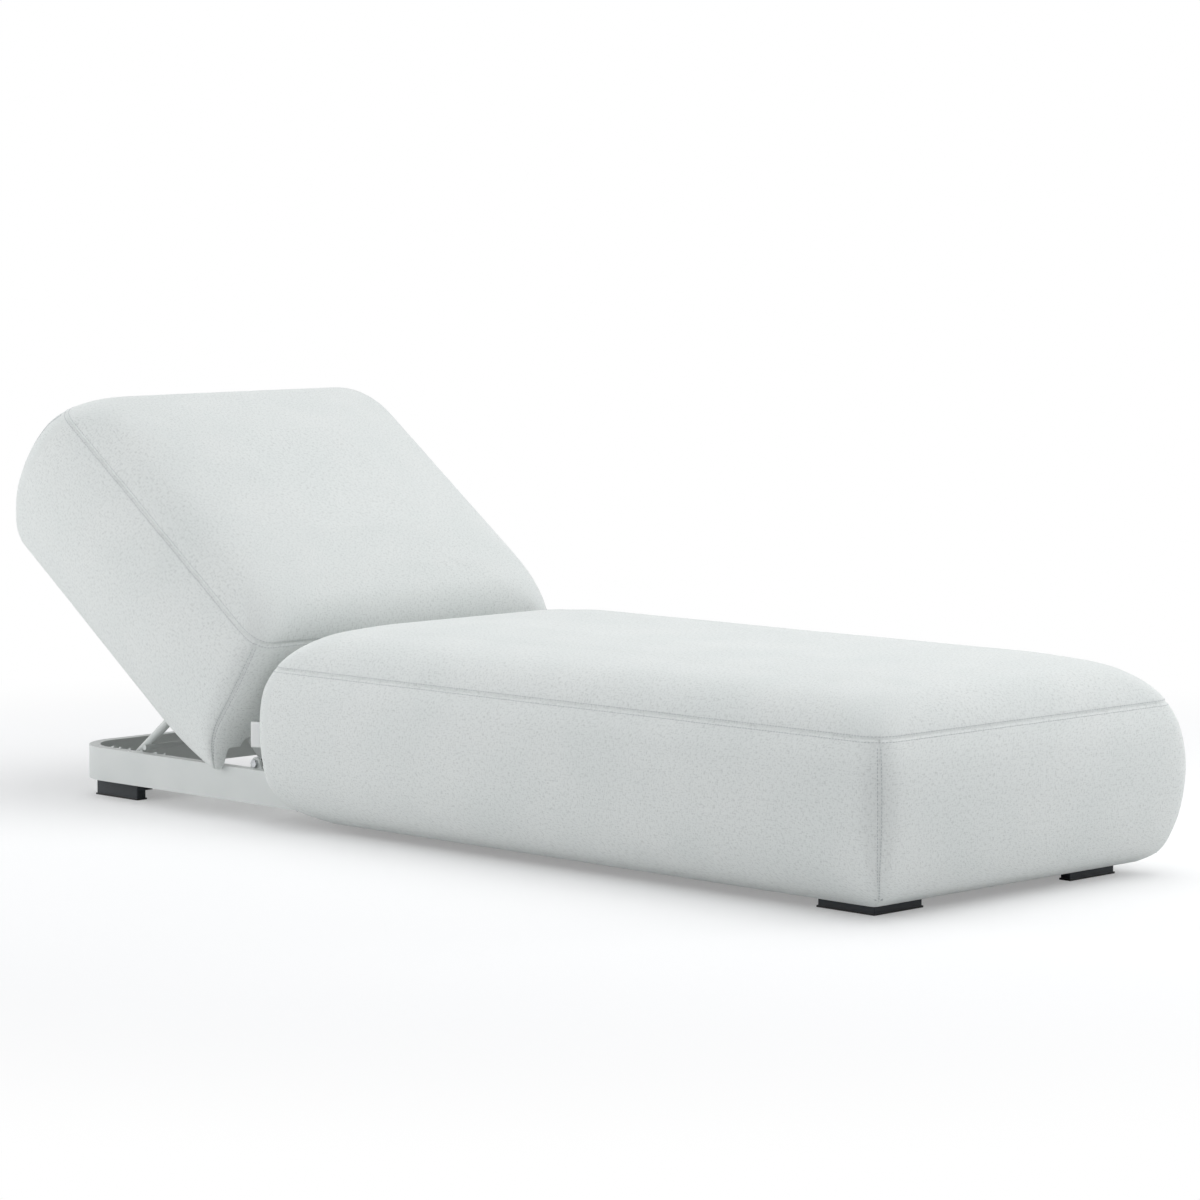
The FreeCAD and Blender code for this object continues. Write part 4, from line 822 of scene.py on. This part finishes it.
# Studio: a white paper floor that turns plain white away from the object, a pale room, and large
# soft lamps above, at the head end and behind the foot end. The camera stands where the photograph
# was taken from.
floor_reach = 15.0
mesh = bpy.data.meshes.new("studio_floor")
corners = [(-floor_reach, -floor_reach, 0), (floor_reach, -floor_reach, 0),
           (floor_reach, floor_reach, 0), (-floor_reach, floor_reach, 0)]
mesh.from_pydata(corners, [], [(0, 1, 2, 3)])
floor = bpy.data.objects.new("studio_floor", mesh)
bpy.context.collection.objects.link(floor)
paper, tree, shader = new_material("white paper floor")
to_eye = add_node(tree, "ShaderNodeLightPath").outputs["Is Camera Ray"]
tone = add_node(tree, "ShaderNodeMix", {"data_type": "RGBA"})
tree.links.new(to_eye, tone.inputs["Factor"])
tone.inputs["A"].default_value = hex_colour("#eeeeee")
tone.inputs["B"].default_value = hex_colour("#fefefe")
tree.links.new(tone.outputs["Result"], shader.inputs["Base Color"])
shader.inputs["Roughness"].default_value = 0.9
shader.inputs["Specular IOR Level"].default_value = 0.0
place = add_node(tree, "ShaderNodeTexCoord").outputs["Object"]
# As the camera sees it, the floor is 30% plain white out to 1.5 m and all plain white from 2.6 m.
from_middle = add_node(tree, "ShaderNodeVectorMath", {"operation": "LENGTH"}, {0: place})
fade = add_node(tree, "ShaderNodeMapRange", {"interpolation_type": "SMOOTHSTEP"},
                {"Value": from_middle.outputs["Value"], "From Min": 1.5, "From Max": 2.6, "To Min": 0.3})
seen = add_node(tree, "ShaderNodeMath", {"operation": "MULTIPLY"},
                {0: fade.outputs["Result"], 1: to_eye})
plain_white = add_node(tree, "ShaderNodeEmission", inputs={"Color": (1, 1, 1, 1), "Strength": 1.0})
blend = add_node(tree, "ShaderNodeMixShader", inputs={0: seen.outputs["Value"], 1: shader.outputs["BSDF"],
                                                      2: plain_white.outputs["Emission"]})
tree.links.new(blend.outputs["Shader"], tree.nodes["Material Output"].inputs["Surface"])
floor.data.materials.append(paper)

world = bpy.data.worlds.new("studio")
bpy.context.scene.world = world
world.use_nodes = True
tree = world.node_tree
ambient = tree.nodes["Background"]
ambient.inputs["Color"].default_value = hex_colour("#fafcff")
# The room is darker behind the camera, so the corners that face it fall into a soft shade. It dims
# from 60 degrees off that direction and is at its darkest within 20 degrees of it.
dark_side = (0.664, -0.664, 0.342)
facing = add_node(tree, "ShaderNodeTexCoord").outputs["Generated"]
to_dark_side = add_node(tree, "ShaderNodeVectorMath", {"operation": "DOT_PRODUCT"},
                        {0: facing, 1: dark_side})
dimmed = add_node(tree, "ShaderNodeMapRange", {"interpolation_type": "SMOOTHSTEP"},
                  {"Value": to_dark_side.outputs["Value"], "From Min": 0.5, "From Max": 0.94,
                   "To Min": 0.60, "To Max": 0.39})
tree.links.new(dimmed.outputs["Result"], ambient.inputs["Strength"])
white = add_node(tree, "ShaderNodeBackground", inputs={"Color": (1, 1, 1, 1), "Strength": 1.0})
path = add_node(tree, "ShaderNodeLightPath")
direct = add_node(tree, "ShaderNodeMath", {"operation": "MAXIMUM"},
                  {0: path.outputs["Is Camera Ray"], 1: path.outputs["Is Glossy Ray"]})
shown = add_node(tree, "ShaderNodeMath", {"operation": "MAXIMUM"},
                 {0: direct.outputs["Value"], 1: path.outputs["Is Transmission Ray"]})
choice = add_node(tree, "ShaderNodeMixShader",
                  inputs={0: shown.outputs["Value"], 1: ambient.outputs["Background"],
                          2: white.outputs["Background"]})
tree.links.new(choice.outputs["Shader"], tree.nodes["World Output"].inputs["Surface"])


def add_softbox(name, place, towards, width, depth, watts):
    lamp = bpy.data.lights.new(name, "AREA")
    lamp.shape = "RECTANGLE"
    lamp.size = width
    lamp.size_y = depth
    lamp.energy = watts
    softbox = bpy.data.objects.new(name, lamp)
    softbox.location = place
    softbox.rotation_euler = (Vector(towards) - Vector(place)).to_track_quat("-Z", "Y").to_euler()
    bpy.context.collection.objects.link(softbox)


add_softbox("top_softbox", (0.9, 0.7, 4.0), (0.3, 0.1, 0.0), 5.0, 4.0, 95.0)
add_softbox("head_softbox", (-2.8, -2.8, 1.2), (-0.4, 0.0, 0.3), 2.0, 2.0, 40.0)
add_softbox("foot_softbox", (2.3, 1.8, 0.9), (1.07, 0.2, 0.2), 1.0, 1.0, 9.0)

camera_data = bpy.data.cameras.new("camera")
camera_data.lens = 130.42
camera_data.sensor_width = 36.0
camera_data.clip_end = 100.0
camera = bpy.data.objects.new("camera", camera_data)
camera.location = (5.3095, -5.2160, 1.1020)
camera.rotation_euler = (math.radians(84.60), 0.0, math.radians(45.01))
bpy.context.collection.objects.link(camera)
bpy.context.scene.camera = camera
bpy.context.scene.view_settings.view_transform = "Standard"
